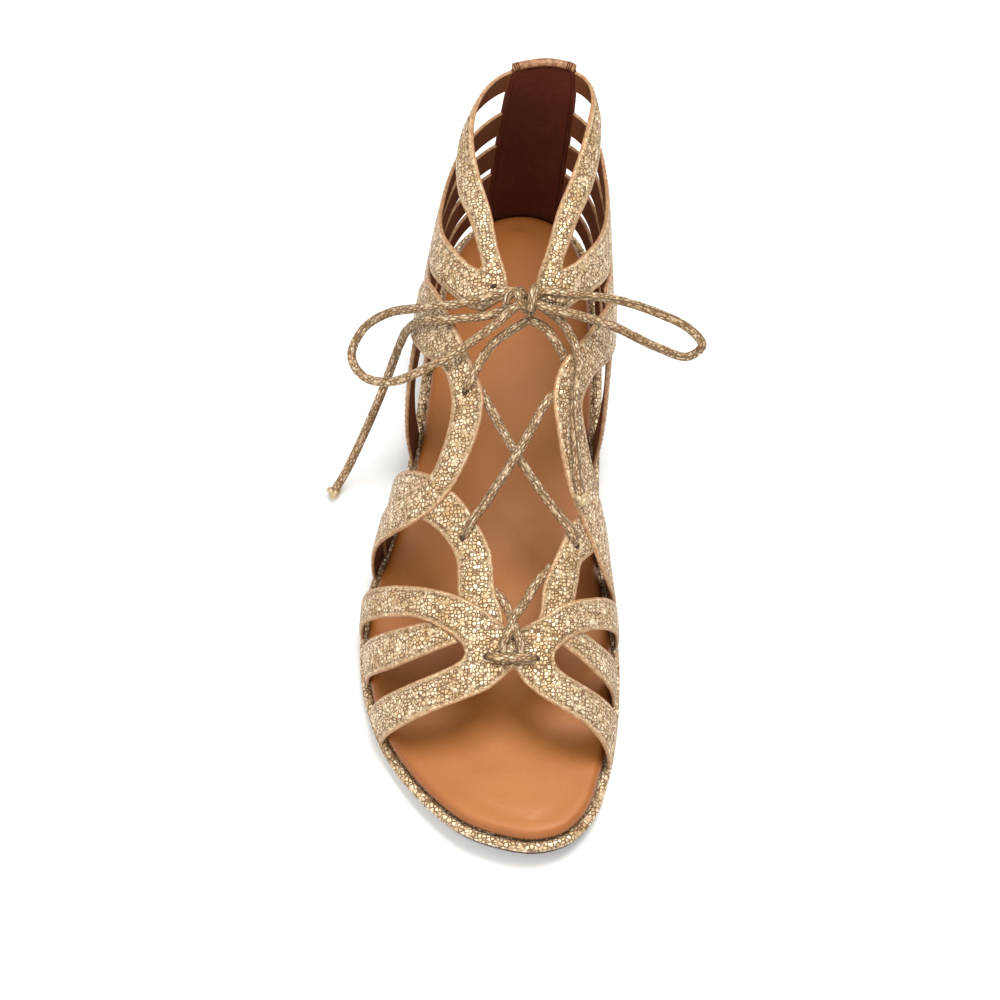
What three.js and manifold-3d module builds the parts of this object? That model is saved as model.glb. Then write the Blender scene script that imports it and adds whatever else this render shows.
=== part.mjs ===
// Gladiator sandal for the right foot: a low heel, a wrapped midsole, a padded insole and an upper
// of leather straps, laced up the throat with a round cord that ends in a bow.
// Millimetres, +Z up, toe toward -Y, big-toe (inner) side toward +X, little-toe (outer) side toward -X.
import * as THREE from "three";
import { mergeVertices } from "three/addons/utils/BufferGeometryUtils.js";
import Module from "manifold-3d";

const wasm = await Module();
wasm.setup();

// ---------- driving sizes ----------
const GAP = 0.3;               // clearance between neighbouring pieces
const OUTSOLE = 3.0;           // thickness of the rubber outsole
const MIDSOLE = 4.5;           // thickness of the leather-wrapped midsole
const RIM_LOW = 1.0;           // height of the soft corner under the midsole's rim
const RIM_HIGH = 0.8;          // height of the soft corner on top of the midsole's rim
const INSOLE = 4.6;            // thickness of the padded insole at its edge
const INSOLE_DOME = 0.9;       // rise of the insole's padding toward its middle
const INSOLE_INSET = 4.0;      // insole edge to midsole edge
const OUTSOLE_INSET = 0.6;     // outsole edge to midsole edge
const HEEL_INSET = 1.6;        // heel edge to midsole edge
const HEEL_FRONT = -64;        // where the heel's front face stands
const STRAP_INSET = 2.6;       // inner face of a strap to midsole edge, where it meets the sole
const LEATHER = 1.6;           // thickness of one strap
const LAP = 0.9;               // how far an overlapping strap sinks into the one below it
const PANEL_INNER = -1.0;      // inner face of the heel panel, from the last's surface
const PANEL_OUTER = 2.4;       // outer face of the heel panel, from the last's surface
const LACE = 3.0;              // diameter of the lace
const KNOT = 7.2;              // diameter of the bow's knot
const END_KNOT = 5.2;          // diameter of the knot at a lace's end
const CORD_SIDES = 8;          // sides of a lace's section
const CORD_STEP = 6.5;         // spacing of the sections along a lace
const STATIONS = 40;           // sections along the sole
const RING = 480;              // points around the sole's outline
const TIP = 0.012;             // share of the way round that the sole's ends are cut flat
const HEEL_LEAN = 9;           // how far the top of the heel leans to the inner side
const LEAN_REACH = 110;        // arc along the sole's edge where that lean has faded out
const OUTER = -1;
const INNER = 1;

// The sole's edge, heel centre first, then up the inner side to the toe and back down the outer side.
const OUTLINE = [
  // x, y
  [1, 3], [11, 1], [19.5, -5], [25.5, -15], [29, -34], [30, -60], [29.5, -85], [28.5, -108], [29, -130],
  [31.5, -150], [34, -170], [34, -190], [32.5, -207], [29.5, -222], [25, -235], [17, -244],
  [6, -247.3], [-6, -245.5], [-18, -240.5], [-29, -231], [-38, -220], [-45.5, -207],
  [-50.5, -191], [-52.5, -172], [-51, -154], [-46.5, -136], [-41, -116], [-37.5, -97],
  [-34.5, -72], [-31.5, -44], [-26.5, -19], [-19.5, -7], [-10, 0.5],
];

// Height of the midsole's underside along the foot: heel, arch, flat forefoot, toe spring.
const RISE = [
  // distance from the heel, height
  [-3, 13.5], [20, 13.2], [45, 12.4], [65, 11], [85, 8.8], [105, 6.2], [125, 4.2], [145, OUTSOLE],
  [205, OUTSOLE], [225, 4.3], [247.3, 7.6],
];

// Half of the insole's section, from its bottom edge round the padded side to the middle.
const INSOLE_EDGE = [
  // share of the half width, share of the edge's thickness, share of the dome
  [0.97, 0, 0], [0.995, 0.2, 0], [1, 0.52, 0], [0.985, 0.78, 0], [0.95, 0.93, 0], [0.86, 1, 0],
  [0.5, 1, 0.7], [0, 1, 1],
];

// The last above the sole. Each row is one section, "arc" millimetres from the heel's centre along the
// sole's edge: the crest is where the section ends over the foot, "power" rounds its shoulder and
// "bulge" pushes its side outward.
const LAST_OUTER = [
  // arc, crest x, crest y, crest z, power, bulge
  [0, 9, 1, 107, 4, 0], [20, 0, -1, 106, 4, 0.3], [45, -7, -22, 103, 3.8, 0.8],
  [70, -8, -48, 99, 3.2, 2], [95, -6, -70, 95, 2.6, 3.5], [115, 0, -86, 90, 2.4, 4.5],
  [135, 1, -104, 81, 2.4, 2.5], [155, 0, -124, 68, 2.4, 1], [180, -1, -150, 55, 2.4, 0.5],
  [205, -1, -178, 45, 2.4, 0], [225, -1, -196, 39, 2.4, 0], [250, 0, -214, 33, 2.3, 0],
];
const LAST_INNER = [
  // arc, crest x, crest y, crest z, power, bulge
  [0, 9, 1, 107, 4, 0], [20, 16, -1, 106, 4, 0.2], [45, 13, -22, 103, 3.6, 0.8],
  [70, 12, -48, 99, 3, 2.6], [95, 9, -70, 95, 2.6, 5], [115, 3, -86, 90, 2.4, 5.5],
  [135, 1, -104, 81, 2.4, 3], [155, 0, -124, 68, 2.4, 1.5], [180, -1, -150, 55, 2.4, 0.5],
  [205, -1, -178, 45, 2.4, 0], [225, -1, -196, 39, 2.4, 0], [250, 0, -214, 33, 2.3, 0],
];

// Straps are laid on the last. A row is a place along a strap: the arc and the height of one edge, then
// of the other edge. Height runs from 0 at the sole to 1 at the crest.
const VAMP = {
  [OUTER]: {
    back: [[180, 0, 191, 0], [182, 0.18, 192, 0.16], [189, 0.465, 199, 0.475], [193, 0.615, 203, 0.64],
      [196, 0.715, 208, 0.745], [199, 0.8, 213, 0.815], [201, 0.845, 218.5, 0.855]],
    front: [[220, 0, 231, 0], [222, 0.255, 233, 0.165], [223.5, 0.465, 235, 0.39],
      [223.5, 0.635, 235.5, 0.62], [222.5, 0.755, 235, 0.77], [221, 0.815, 234, 0.86],
      [218.5, 0.855, 233, 0.91]],
    head: [[201, 0.845, 218.5, 0.855, 233, 0.91], [205, 0.91, 219, 0.925, 230.5, 0.955],
      [213, 1, 219.5, 1, 226, 1]],
  },
  [INNER]: {
    back: [[179, 0, 191, 0], [182, 0.17, 192, 0.135], [189, 0.425, 199, 0.425], [195, 0.615, 205, 0.615],
      [198, 0.705, 210, 0.725], [201, 0.78, 214.5, 0.79], [204, 0.835, 218.5, 0.825]],
    front: [[220, 0, 236, 0], [221, 0.245, 235.5, 0.2], [222, 0.425, 235, 0.37], [222.5, 0.56, 234.5, 0.535],
      [222.5, 0.68, 234.5, 0.685], [221.5, 0.77, 234, 0.815], [218.5, 0.825, 233, 0.89]],
    head: [[204, 0.835, 218.5, 0.825, 233, 0.89], [208, 0.91, 219, 0.92, 230.5, 0.955],
      [213, 1, 219.5, 1, 226, 1]],
  },
};
const MIDDLE = {
  [OUTER]: [[196, 0, 208.5, 0], [199, 0.19, 210, 0.135], [203, 0.445, 215, 0.425], [205, 0.635, 215.5, 0.65],
    [206, 0.78, 214, 0.815]],
  [INNER]: [[200, 0, 213, 0], [203, 0.245, 214, 0.215], [205, 0.465, 215, 0.465], [205, 0.635, 213.5, 0.65],
    [206, 0.76, 212, 0.8]],
};
const GHILLIE = {
  [OUTER]: [[212, 0.975, 207, 0.845], [206, 0.97, 199, 0.825], [200, 0.95, 194.5, 0.825],
    [193, 0.945, 188, 0.815], [187, 0.93, 181, 0.76], [179, 0.88, 175, 0.68], [171, 0.81, 171, 0.595],
    [161, 0.67, 166, 0.465], [151, 0.445, 161, 0.265], [145, 0.245, 158.5, 0.135], [143.5, 0, 158, 0]],
  [INNER]: [[212, 0.945, 207, 0.815], [206, 0.89, 200, 0.705], [197, 0.87, 191, 0.66],
    [189, 0.815, 185, 0.635], [182, 0.76, 180, 0.56], [175, 0.7, 175, 0.465], [165, 0.54, 168, 0.325],
    [156, 0.385, 163, 0.205],
    [148, 0.215, 160, 0.115], [145, 0, 159, 0]],
};
const CURVED = {
  [OUTER]: [[167, 0, 153, 0], [169, 0.245, 157, 0.265], [173, 0.49, 160, 0.465], [173.5, 0.65, 162, 0.595],
    [170, 0.76, 161, 0.68], [163, 0.825, 154, 0.725], [155, 0.865, 146, 0.745], [148, 0.88, 139, 0.735],
    [142, 0.87, 131, 0.69], [134, 0.825, 121, 0.575], [124, 0.77, 110, 0.465], [113, 0.715, 101, 0.375],
    [104, 0.665, 94, 0.335], [96, 0.595, 89, 0.365], [91, 0.52, 88, 0.435]],
  [INNER]: [[181, 0, 163, 0], [182, 0.245, 162, 0.215], [181, 0.425, 159, 0.345], [175, 0.56, 156, 0.435],
    [170, 0.65, 152, 0.49], [165, 0.715, 148, 0.55], [158, 0.76, 144, 0.595], [149, 0.8, 139, 0.635],
    [142, 0.825, 133, 0.615], [134, 0.8, 124, 0.55], [126, 0.735, 115, 0.455], [117, 0.66, 105, 0.37],
    [108, 0.605, 97, 0.335], [99, 0.535, 91, 0.355], [93, 0.475, 90, 0.405]],
};
// The collar strap and the strap below it run forward from the heel panel and join in a lacing tab.
const COLLAR = {
  [OUTER]: [[6, 0.735, 6, 0.61], [22, 0.78, 22, 0.635], [38, 0.835, 38, 0.675], [54, 0.895, 55, 0.735],
    [68, 0.95, 71, 0.81], [81, 0.985, 84, 0.885], [93, 0.99, 97, 0.91], [102, 0.985, 107, 0.9]],
  [INNER]: [[6, 0.735, 6, 0.61], [22, 0.77, 22, 0.63], [38, 0.825, 38, 0.675], [54, 0.885, 55, 0.735],
    [68, 0.94, 71, 0.81], [81, 0.98, 84, 0.875], [94, 0.99, 97, 0.9], [104, 0.985, 109, 0.91]],
};
const SECOND = {
  [OUTER]: [[6, 0.5, 6, 0.395], [22, 0.49, 22, 0.385], [38, 0.49, 38, 0.385], [54, 0.525, 56, 0.4],
    [68, 0.585, 73, 0.455], [81, 0.675, 88, 0.555], [93, 0.785, 101, 0.675], [107, 0.9, 111, 0.765]],
  [INNER]: [[6, 0.5, 6, 0.395], [22, 0.49, 22, 0.385], [38, 0.49, 38, 0.385], [54, 0.525, 56, 0.4],
    [68, 0.585, 73, 0.455], [82, 0.685, 89, 0.555], [96, 0.81, 103, 0.685], [109, 0.91, 113, 0.78]],
};
const TAB = {
  [OUTER]: [[102, 0.985, 107, 0.9, 111, 0.765], [111, 0.975, 112.5, 0.91, 116, 0.815],
    [117, 0.96, 118, 0.915, 119, 0.87]],
  [INNER]: [[104, 0.985, 109, 0.91, 113, 0.78], [112, 0.975, 114, 0.91, 117.5, 0.825],
    [118, 0.96, 119, 0.915, 120, 0.87]],
};
// Three lower straps run from the heel panel to the curved strap and down to the sole.
const HEEL_STRAPS = {
  third: [[6, 0.345, 6, 0.255], [24, 0.34, 24, 0.245], [42, 0.355, 42, 0.255], [58, 0.39, 60, 0.27],
    [72, 0.445, 76, 0.315], [85, 0.51, 91, 0.385], [96, 0.575, 103, 0.47]],
  fourth: [[6, 0.225, 6, 0.14], [24, 0.215, 24, 0.135], [42, 0.235, 42, 0.14], [58, 0.27, 58, 0.15],
    [74, 0.315, 72, 0.17], [90, 0.365, 86, 0.19], [104, 0.36, 98, 0.2], [115, 0.295, 105, 0.175],
    [121, 0.16, 109, 0.09], [122, 0, 110, 0]],
  fifth: [[6, 0.115, 6, 0.05], [24, 0.11, 24, 0.05], [42, 0.115, 42, 0.045], [58, 0.125, 55, 0.045],
    [72, 0.12, 65, 0.035], [82, 0.085, 71, 0.025], [87, 0, 74, 0]],
};
const PANEL = [
  // half width along the sole's edge, height on the last
  [17, 0], [16.5, 0.025], [15.6, 0.075], [14.8, 0.18], [14.2, 0.365], [13.9, 0.575], [13.6, 0.745],
  [12.2, 0.775],
];

// Routes of the lace. A place on the last is [arc, height, side, lift off the last]; the free stretches
// of the bow are [x, y, z] in the shoe's own frame.
const ON_STRAP = 4.6;          // lift of a lace's centre where it lies on two layers of leather
const IN_THROAT = 0.75;        // lift of a lace's centre level with one layer of leather
const BAR = [[220, 0.91, OUTER, ON_STRAP], [222.5, 0.965, OUTER, ON_STRAP], [222.5, 0.975, INNER, ON_STRAP],
  [220, 0.91, INNER, ON_STRAP]];
const LOW_CROSS = [
  [[201.5, 0.975, OUTER, IN_THROAT], [209, 0.995, OUTER, IN_THROAT]],
  [[197, 0.935, INNER, IN_THROAT], [209, 0.995, INNER, IN_THROAT]],
];
const MID_CROSS = [
  [[-9.6, -118.5, 72], [0, -133, 63.8], [13, -150, 55.8]],
  [[9.8, -117.5, 73.5], [0, -133, 66.0], [-11.8, -149.5, 57.6]],
];
const TOP_CROSS = [
  [[-11.6, -106, 81.5], [-5, -101, 85.5], [3.3, -96.4, 88.2]],
  [[12.4, -101.5, 82.8], [8.6, -98.4, 86.4], [3.3, -96.4, 88.2]],
];
const BOW_KNOT = [3.3, -92.6, 93.6];
const BOW_LOOPS = {
  outer: [[-1.5, -90.3, 95.2], [-8, -91.5, 95], [-18, -93, 92.4], [-33, -89, 84], [-43, -86, 77],
    [-51, -88, 71], [-55, -95, 66], [-51, -103, 65.5], [-41, -109, 71], [-30, -109.5, 79],
    [-18, -106.5, 86.5], [-8, -101, 91], [-1.2, -96.4, 94.8]],
  inner: [[8, -90.8, 95.5], [16, -91, 94.8], [32, -89, 89], [46, -89, 81.5], [55.5, -91, 76.5],
    [60.5, -94, 71], [56, -95.5, 66.5], [45.3, -95.5, 72], [30, -95.5, 84], [18, -96.6, 91.4],
    [8.2, -96.4, 95]],
};
const LACE_ENDS = {
  outer: {
    start: [[-1.6, -93.4, 90.7], [-11, -95.5, 88.8]],
    strap: [[118, 0.745, OUTER, 5], [112, 0.615, OUTER, 5], [108, 0.485, OUTER, 5], [105, 0.37, OUTER, 5.5]],
    fall: [[-47, -93, 38], [-53.5, -98, 21], [-60, -104.5, 8], [-64, -109, 3.2]],
  },
  inner: {
    start: [[8.2, -93.6, 90.8], [14.5, -98, 88]],
    strap: [[129, 0.725, INNER, ON_STRAP], [138, 0.725, INNER, ON_STRAP], [146, 0.715, INNER, ON_STRAP],
      [154, 0.7, INNER, ON_STRAP], [161, 0.69, INNER, ON_STRAP], [167, 0.67, INNER, 5]],
    fall: [],
  },
};
const COLOURS = {
  gold: { color: 0xc9ae82, roughness: 0.42, metalness: 0.55 },
  insole: { color: 0xb8743e, roughness: 0.55, metalness: 0 },
  rubber: { color: 0x3a2418, roughness: 0.75, metalness: 0 },
  lace: { color: 0xb9986b, roughness: 0.5, metalness: 0.35 },
};

// ---------- curves and the last ----------
// Reads one column of a table at a place in its first column, along a smooth curve through the rows.
function smooth(rows, column, at) {
  const last = rows.length - 1;
  let i = 0;
  while (i < last - 1 && at > rows[i + 1][0]) i += 1;
  const slope = (k) => {
    const a = Math.max(0, k - 1);
    const b = Math.min(last, k + 1);
    return (rows[b][column] - rows[a][column]) / (rows[b][0] - rows[a][0]);
  };
  const step = rows[i + 1][0] - rows[i][0];
  const t = Math.min(1, Math.max(0, (at - rows[i][0]) / step));
  const from = rows[i][column] * (1 + 2 * t) * (1 - t) ** 2 + rows[i + 1][column] * t * t * (3 - 2 * t);
  return from + step * (slope(i) * t * (1 - t) ** 2 - slope(i + 1) * t * t * (1 - t));
}

// Points of the sole's edge moved inward, evenly spaced along a closed curve.
function edgeRing(inset) {
  const points = OUTLINE.map(([x, y]) => new THREE.Vector3(x, y, 0));
  const curve = new THREE.CatmullRomCurve3(points, true, "centripetal");
  curve.arcLengthDivisions = RING * 2;
  const ring = [];
  for (let i = 0; i < RING; i += 1) {
    const point = curve.getPointAt(i / RING);
    const tangent = curve.getTangentAt(i / RING);
    ring.push(point.add(new THREE.Vector3(-tangent.y, tangent.x, 0).multiplyScalar(-inset)));
  }
  return { ring, length: curve.getLength() };
}

const EDGE = edgeRing(0);
const STRAP_LINE = edgeRing(STRAP_INSET);

// The point of a ring "arc" millimetres from the heel's centre, on one side.
function alongRing(ring, arc, side) {
  const turn = (((side * arc) / EDGE.length) % 1 + 1) % 1;
  const place = turn * RING;
  const i = Math.floor(place);
  return ring[i % RING].clone().lerp(ring[(i + 1) % RING], place - i);
}

// The outsole never dips below the floor, so the forefoot is flat.
function soleRise(y) {
  return Math.max(OUTSOLE, smooth(RISE, 1, -y));
}

// A point of the last: arc along the sole's edge, height from 0 (sole) to 1 (crest).
function onLast(arc, height, side) {
  const table = side === OUTER ? LAST_OUTER : LAST_INNER;
  const [cx, cy, cz, power, bulge] = [1, 2, 3, 4, 5].map((column) => smooth(table, column, arc));
  const foot = alongRing(STRAP_LINE.ring, arc, side);
  const footZ = soleRise(foot.y) + MIDSOLE + GAP;
  const angle = Math.min(1, Math.max(0, height)) * Math.PI / 2;
  const up = Math.sin(angle);
  const out = Math.max(0, 1 - up ** power) ** (1 / power);
  const lean = HEEL_LEAN * up * out * Math.max(0, 1 - arc / LEAN_REACH);
  return new THREE.Vector3(
    cx + (foot.x - cx) * out + side * bulge * Math.sin(2 * angle) + lean,
    cy + (foot.y - cy) * out,
    footZ + (cz - footZ) * up,
  );
}

// The outward direction of the last's surface.
function lastNormal(arc, height, side) {
  const h = Math.min(0.985, Math.max(0.02, height));
  const along = onLast(arc + 1, h, side).sub(onLast(arc - 1, h, side));
  const upward = onLast(arc, h + 0.012, side).sub(onLast(arc, h - 0.012, side));
  return upward.cross(along).multiplyScalar(side).normalize();
}

// ---------- solids ----------
function toSolid(points, triangles) {
  const geometry = new THREE.BufferGeometry().setFromPoints(points);
  geometry.setIndex(triangles);
  return asManifold(geometry);
}

function asManifold(source) {
  const bare = new THREE.BufferGeometry();
  bare.setAttribute("position", source.getAttribute("position").clone());
  if (source.index) bare.setIndex(source.index.clone());
  const merged = mergeVertices(bare, 1e-4);
  const mesh = new wasm.Mesh({
    numProp: 3,
    vertProperties: new Float32Array(merged.getAttribute("position").array),
    triVerts: new Uint32Array(merged.index.array),
  });
  return new wasm.Manifold(mesh);
}

function toGeometry(solid) {
  const mesh = solid.getMesh();
  const geometry = new THREE.BufferGeometry();
  geometry.setAttribute("position", new THREE.BufferAttribute(new Float32Array(mesh.vertProperties), 3));
  geometry.setIndex(new THREE.BufferAttribute(new Uint32Array(mesh.triVerts), 1));
  geometry.computeVertexNormals();
  return geometry;
}

const joined = (solids) => solids.reduce((all, one) => all.add(one));

// A closed body through equal loops of points, with its two ends capped.
function loft(loops) {
  const count = loops[0].length;
  const points = loops.flat();
  const triangles = [];
  for (let i = 0; i + 1 < loops.length; i += 1) {
    for (let j = 0; j < count; j += 1) {
      const a = i * count + j;
      const b = i * count + (j + 1) % count;
      triangles.push(a, b, b + count, a, b + count, a + count);
    }
  }
  const cap = (loop, start, turned) => {
    const centre = loop.reduce((sum, p) => sum.add(p), new THREE.Vector3()).divideScalar(count);
    const c = points.push(centre) - 1;
    for (let j = 0; j < count; j += 1) {
      const next = (j + 1) % count;
      triangles.push(c, start + (turned ? next : j), start + (turned ? j : next));
    }
  };
  cap(loops[0], 0, true);
  cap(loops[loops.length - 1], (loops.length - 1) * count, false);
  return toSolid(points, triangles);
}

// Left and right edge of a ring where it crosses a station along the foot.
function crossing(ring, y) {
  const xs = [];
  ring.forEach((a, i) => {
    const b = ring[(i + 1) % ring.length];
    if ((a.y - y) * (b.y - y) <= 0 && a.y !== b.y) xs.push(a.x + (b.x - a.x) * (y - a.y) / (b.y - a.y));
  });
  return [Math.min(...xs), Math.max(...xs)];
}

// A layer of the sole. "section" gives the loop of [share of the half width, height] at a station.
// With "front" the layer ends in a flat face there, and without it the layer runs round the toe.
function soleLayer(inset, section, front) {
  const { ring } = edgeRing(inset);
  const ys = ring.map((p) => p.y);
  const heel = Math.max(...ys);
  const toe = Math.min(...ys);
  const loops = [];
  for (let i = 0; i <= STATIONS; i += 1) {
    const t = TIP + (1 - TIP * (front ? 1 : 2)) * i / STATIONS;
    const round = Math.PI * t / (front ? 2 : 1);
    const reach = front ? (front - heel) : (toe - heel) / 2;
    const y = heel + reach * (1 - Math.cos(round));
    const [left, right] = crossing(ring, y);
    const half = (right - left) / 2;
    loops.push(section(y).map(([share, z]) => new THREE.Vector3((left + right) / 2 + half * share, y, z)));
  }
  return loft(loops);
}

// ---------- sole ----------
const flatSection = (low, high) => [[-1, low], [1, low], [1, high], [-1, high]];

function makeOutsole() {
  return soleLayer(OUTSOLE_INSET, (y) => flatSection(soleRise(y) - OUTSOLE, soleRise(y)));
}

function makeHeel() {
  return soleLayer(HEEL_INSET, (y) => flatSection(0, soleRise(y) - OUTSOLE - GAP), HEEL_FRONT);
}

function makeMidsole() {
  return soleLayer(0, (y) => {
    const low = soleRise(y) + GAP;
    const high = soleRise(y) + MIDSOLE;
    const right = [[0.985, low], [1, low + RIM_LOW], [1, high - RIM_HIGH], [0.98, high]];
    return [...right, ...right.map(([share, z]) => [-share, z]).reverse()];
  });
}

function makeInsole() {
  const right = INSOLE_EDGE.map(([share, edge, dome]) => [share, edge * INSOLE + dome * INSOLE_DOME]);
  const left = right.slice(0, -1).reverse().map(([share, z]) => [-share, z]);
  return soleLayer(INSOLE_INSET, (y) => {
    const low = soleRise(y) + MIDSOLE + GAP;
    return [...right, ...left].map(([share, z]) => [share, low + z]);
  });
}

// ---------- upper ----------
// Collects bands of leather as one sheet on the last; bands that share an edge share its points.
class Sheet {
  constructor() {
    this.points = [];
    this.normals = [];
    this.quads = [];
    this.known = new Map();
  }

  place(arc, height, side) {
    const point = onLast(arc, height, side);
    const key = point.toArray().map((v) => Math.round(v * 100)).join(" ");
    if (!this.known.has(key)) {
      this.known.set(key, this.points.length);
      this.points.push(point);
      this.normals.push(new THREE.Vector3());
    }
    const index = this.known.get(key);
    this.normals[index].add(lastNormal(arc, height, side));
    return index;
  }

  // A band between two edges. A row holds [arc, height, arc, height] for the edges at one place.
  band(side, rows, across = 2, perRow = 2) {
    const table = rows.map((row, i) => [i, ...row]);
    const steps = (rows.length - 1) * perRow;
    const lines = [];
    for (let i = 0; i <= steps; i += 1) {
      const [arcA, upA, arcB, upB] = [1, 2, 3, 4].map((column) => smooth(table, column, i / perRow));
      const line = [];
      for (let j = 0; j <= across; j += 1) {
        const share = j / across;
        line.push(this.place(arcA + (arcB - arcA) * share, upA + (upB - upA) * share, side));
      }
      lines.push(line);
    }
    this.lines(lines);
  }

  lines(lines) {
    for (let i = 0; i + 1 < lines.length; i += 1) {
      for (let j = 0; j + 1 < lines[i].length; j += 1) {
        const quad = [lines[i][j], lines[i + 1][j], lines[i + 1][j + 1], lines[i][j + 1]];
        this.quads.push(this.facesOut(quad) ? quad : quad.reverse());
      }
    }
  }

  facesOut([a, b, c, d]) {
    const one = this.points[c].clone().sub(this.points[a]);
    const two = this.points[d].clone().sub(this.points[b]);
    return one.cross(two).dot(this.normals[a].clone().add(this.normals[c])) > 0;
  }

  // The leather's body between two distances from the last.
  thick(inner, outer) {
    const count = this.points.length;
    const at = (offset) => this.points.map((p, i) => (
      p.clone().addScaledVector(this.normals[i].clone().normalize(), offset)));
    const points = [...at(outer), ...at(inner)];
    const triangles = [];
    const open = new Map();
    this.quads.forEach(([a, b, c, d]) => {
      triangles.push(a, b, c, a, c, d);
      triangles.push(a + count, c + count, b + count, a + count, d + count, c + count);
      [[a, b], [b, c], [c, d], [d, a]].forEach(([from, to]) => {
        if (!open.delete(`${to} ${from}`)) open.set(`${from} ${to}`, [from, to]);
      });
    });
    open.forEach(([from, to]) => {
      triangles.push(to, from, from + count, to, from + count, to + count);
    });
    return toSolid(points, triangles);
  }
}

// The forked front strap of both sides as one sheet: two arms a side and a head that meets at the centre.
function makeVamp() {
  const sheet = new Sheet();
  [OUTER, INNER].forEach((side) => {
    const { back, front, head } = VAMP[side];
    sheet.band(side, back);
    sheet.band(side, front);
    sheet.band(side, head.map((row) => row.slice(0, 4)));
    sheet.band(side, head.map((row) => row.slice(2, 6)));
  });
  return sheet.thick(LEATHER - LAP, 2 * LEATHER - LAP);
}

function makeStrap(side, rows, layer, across, perRow) {
  const sheet = new Sheet();
  sheet.band(side, rows, across, perRow);
  return layer ? sheet.thick(LEATHER - LAP, 2 * LEATHER - LAP) : sheet.thick(0, LEATHER);
}

// The collar strap, the strap below it and the lacing tab that they run into.
function makeCollar(side) {
  const sheet = new Sheet();
  sheet.band(side, COLLAR[side]);
  sheet.band(side, SECOND[side]);
  sheet.band(side, TAB[side].map((row) => row.slice(0, 4)));
  sheet.band(side, TAB[side].map((row) => row.slice(2, 6)));
  return sheet.thick(0, LEATHER);
}

function makePanel() {
  const sheet = new Sheet();
  const columns = 8;
  sheet.lines(PANEL.map(([width, height]) => {
    const line = [];
    for (let j = 0; j <= columns; j += 1) {
      const arc = width * (2 * j / columns - 1);
      line.push(sheet.place(Math.abs(arc), height, arc < 0 ? OUTER : INNER));
    }
    return line;
  }));
  return sheet.thick(PANEL_INNER, PANEL_OUTER);
}

function makeUpper() {
  const solids = [makeVamp(), makePanel()];
  [OUTER, INNER].forEach((side) => {
    solids.push(makeStrap(side, MIDDLE[side], 0));
    solids.push(makeStrap(side, GHILLIE[side], 0));
    solids.push(makeStrap(side, CURVED[side], 1, 3));
    solids.push(makeCollar(side));
    Object.values(HEEL_STRAPS).forEach((rows) => solids.push(makeStrap(side, rows, 0)));
  });
  return joined(solids);
}

// ---------- laces ----------
const lifted = (arc, height, side, lift) => (
  onLast(arc, height, side).addScaledVector(lastNormal(arc, height, side), lift));

const routePoint = (place) => (place.length === 4 ? lifted(...place) : new THREE.Vector3(...place));

function makeCord(route) {
  const path = new THREE.CatmullRomCurve3(route.map(routePoint), false, "centripetal");
  const steps = Math.ceil(path.getLength() / CORD_STEP);
  const round = new THREE.Shape().absarc(0, 0, LACE / 2, 0, 2 * Math.PI);
  return asManifold(new THREE.ExtrudeGeometry(round, {
    extrudePath: path, steps, bevelEnabled: false, curveSegments: CORD_SIDES / 2,
  }));
}

function makeKnot(centre, diameter) {
  const ball = new THREE.SphereGeometry(diameter / 2, 12, 8);
  return asManifold(ball.translate(...centre));
}

// A lace's loose end: it leaves the bow, runs over the strap and ends in a small knot.
function makeLaceEnd({ start, strap, fall }) {
  const route = [...start, ...strap, ...fall];
  const last = routePoint(route[route.length - 1]);
  return makeCord(route).add(makeKnot(last.toArray(), END_KNOT));
}

// ---------- model ----------
function makeMesh(name, solid, look) {
  const mesh = new THREE.Mesh(toGeometry(solid), new THREE.MeshStandardMaterial(look));
  mesh.name = name;
  return mesh;
}

const joinedCords = (routes) => joined(routes.map(makeCord));

const shoe = new THREE.Group();
shoe.add(makeMesh("outsole", makeOutsole(), COLOURS.rubber));
shoe.add(makeMesh("heel", makeHeel(), COLOURS.rubber));
shoe.add(makeMesh("midsole", makeMidsole(), COLOURS.gold));
shoe.add(makeMesh("insole", makeInsole(), COLOURS.insole));
shoe.add(makeMesh("upper", makeUpper(), COLOURS.gold));
shoe.add(makeMesh("lace_bar", makeCord(BAR), COLOURS.lace));
shoe.add(makeMesh("lace_cross_low", joinedCords(LOW_CROSS), COLOURS.lace));
shoe.add(makeMesh("lace_cross_mid", joinedCords(MID_CROSS), COLOURS.lace));
shoe.add(makeMesh("lace_cross_top", joinedCords(TOP_CROSS), COLOURS.lace));

const bow = new THREE.Group();
bow.add(makeMesh("bow_knot", makeKnot(BOW_KNOT, KNOT), COLOURS.lace));
Object.entries(BOW_LOOPS).forEach(([name, route]) => {
  bow.add(makeMesh(`bow_loop_${name}`, makeCord(route), COLOURS.lace));
});
Object.entries(LACE_ENDS).forEach(([name, parts]) => {
  bow.add(makeMesh(`lace_end_${name}`, makeLaceEnd(parts), COLOURS.lace));
});

// The origin is the middle of the shoe's footprint, on the floor; the bow hangs outside that box.
const box = new THREE.Box3().setFromObject(shoe);
const sandal = new THREE.Group();
sandal.add(shoe, bow);
sandal.position.set(-(box.min.x + box.max.x) / 2, -(box.min.y + box.max.y) / 2, -box.min.z);

export default sandal;
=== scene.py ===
"""A gladiator sandal for the right foot: gold embossed straps laced up the throat and tied in a bow.

Tables hold millimetres in the shoe's own frame (heel centre near x 1, y 3, toe toward -Y, big-toe side
toward +X, floor at z 0); the finished pieces are in metres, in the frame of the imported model.
"""
from math import pi, radians

import bpy
import numpy as np
from bpy.props import FloatProperty, FloatVectorProperty, PointerProperty
from bpy.types import Operator, Panel, PropertyGroup
from mathutils import Matrix, Vector


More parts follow.
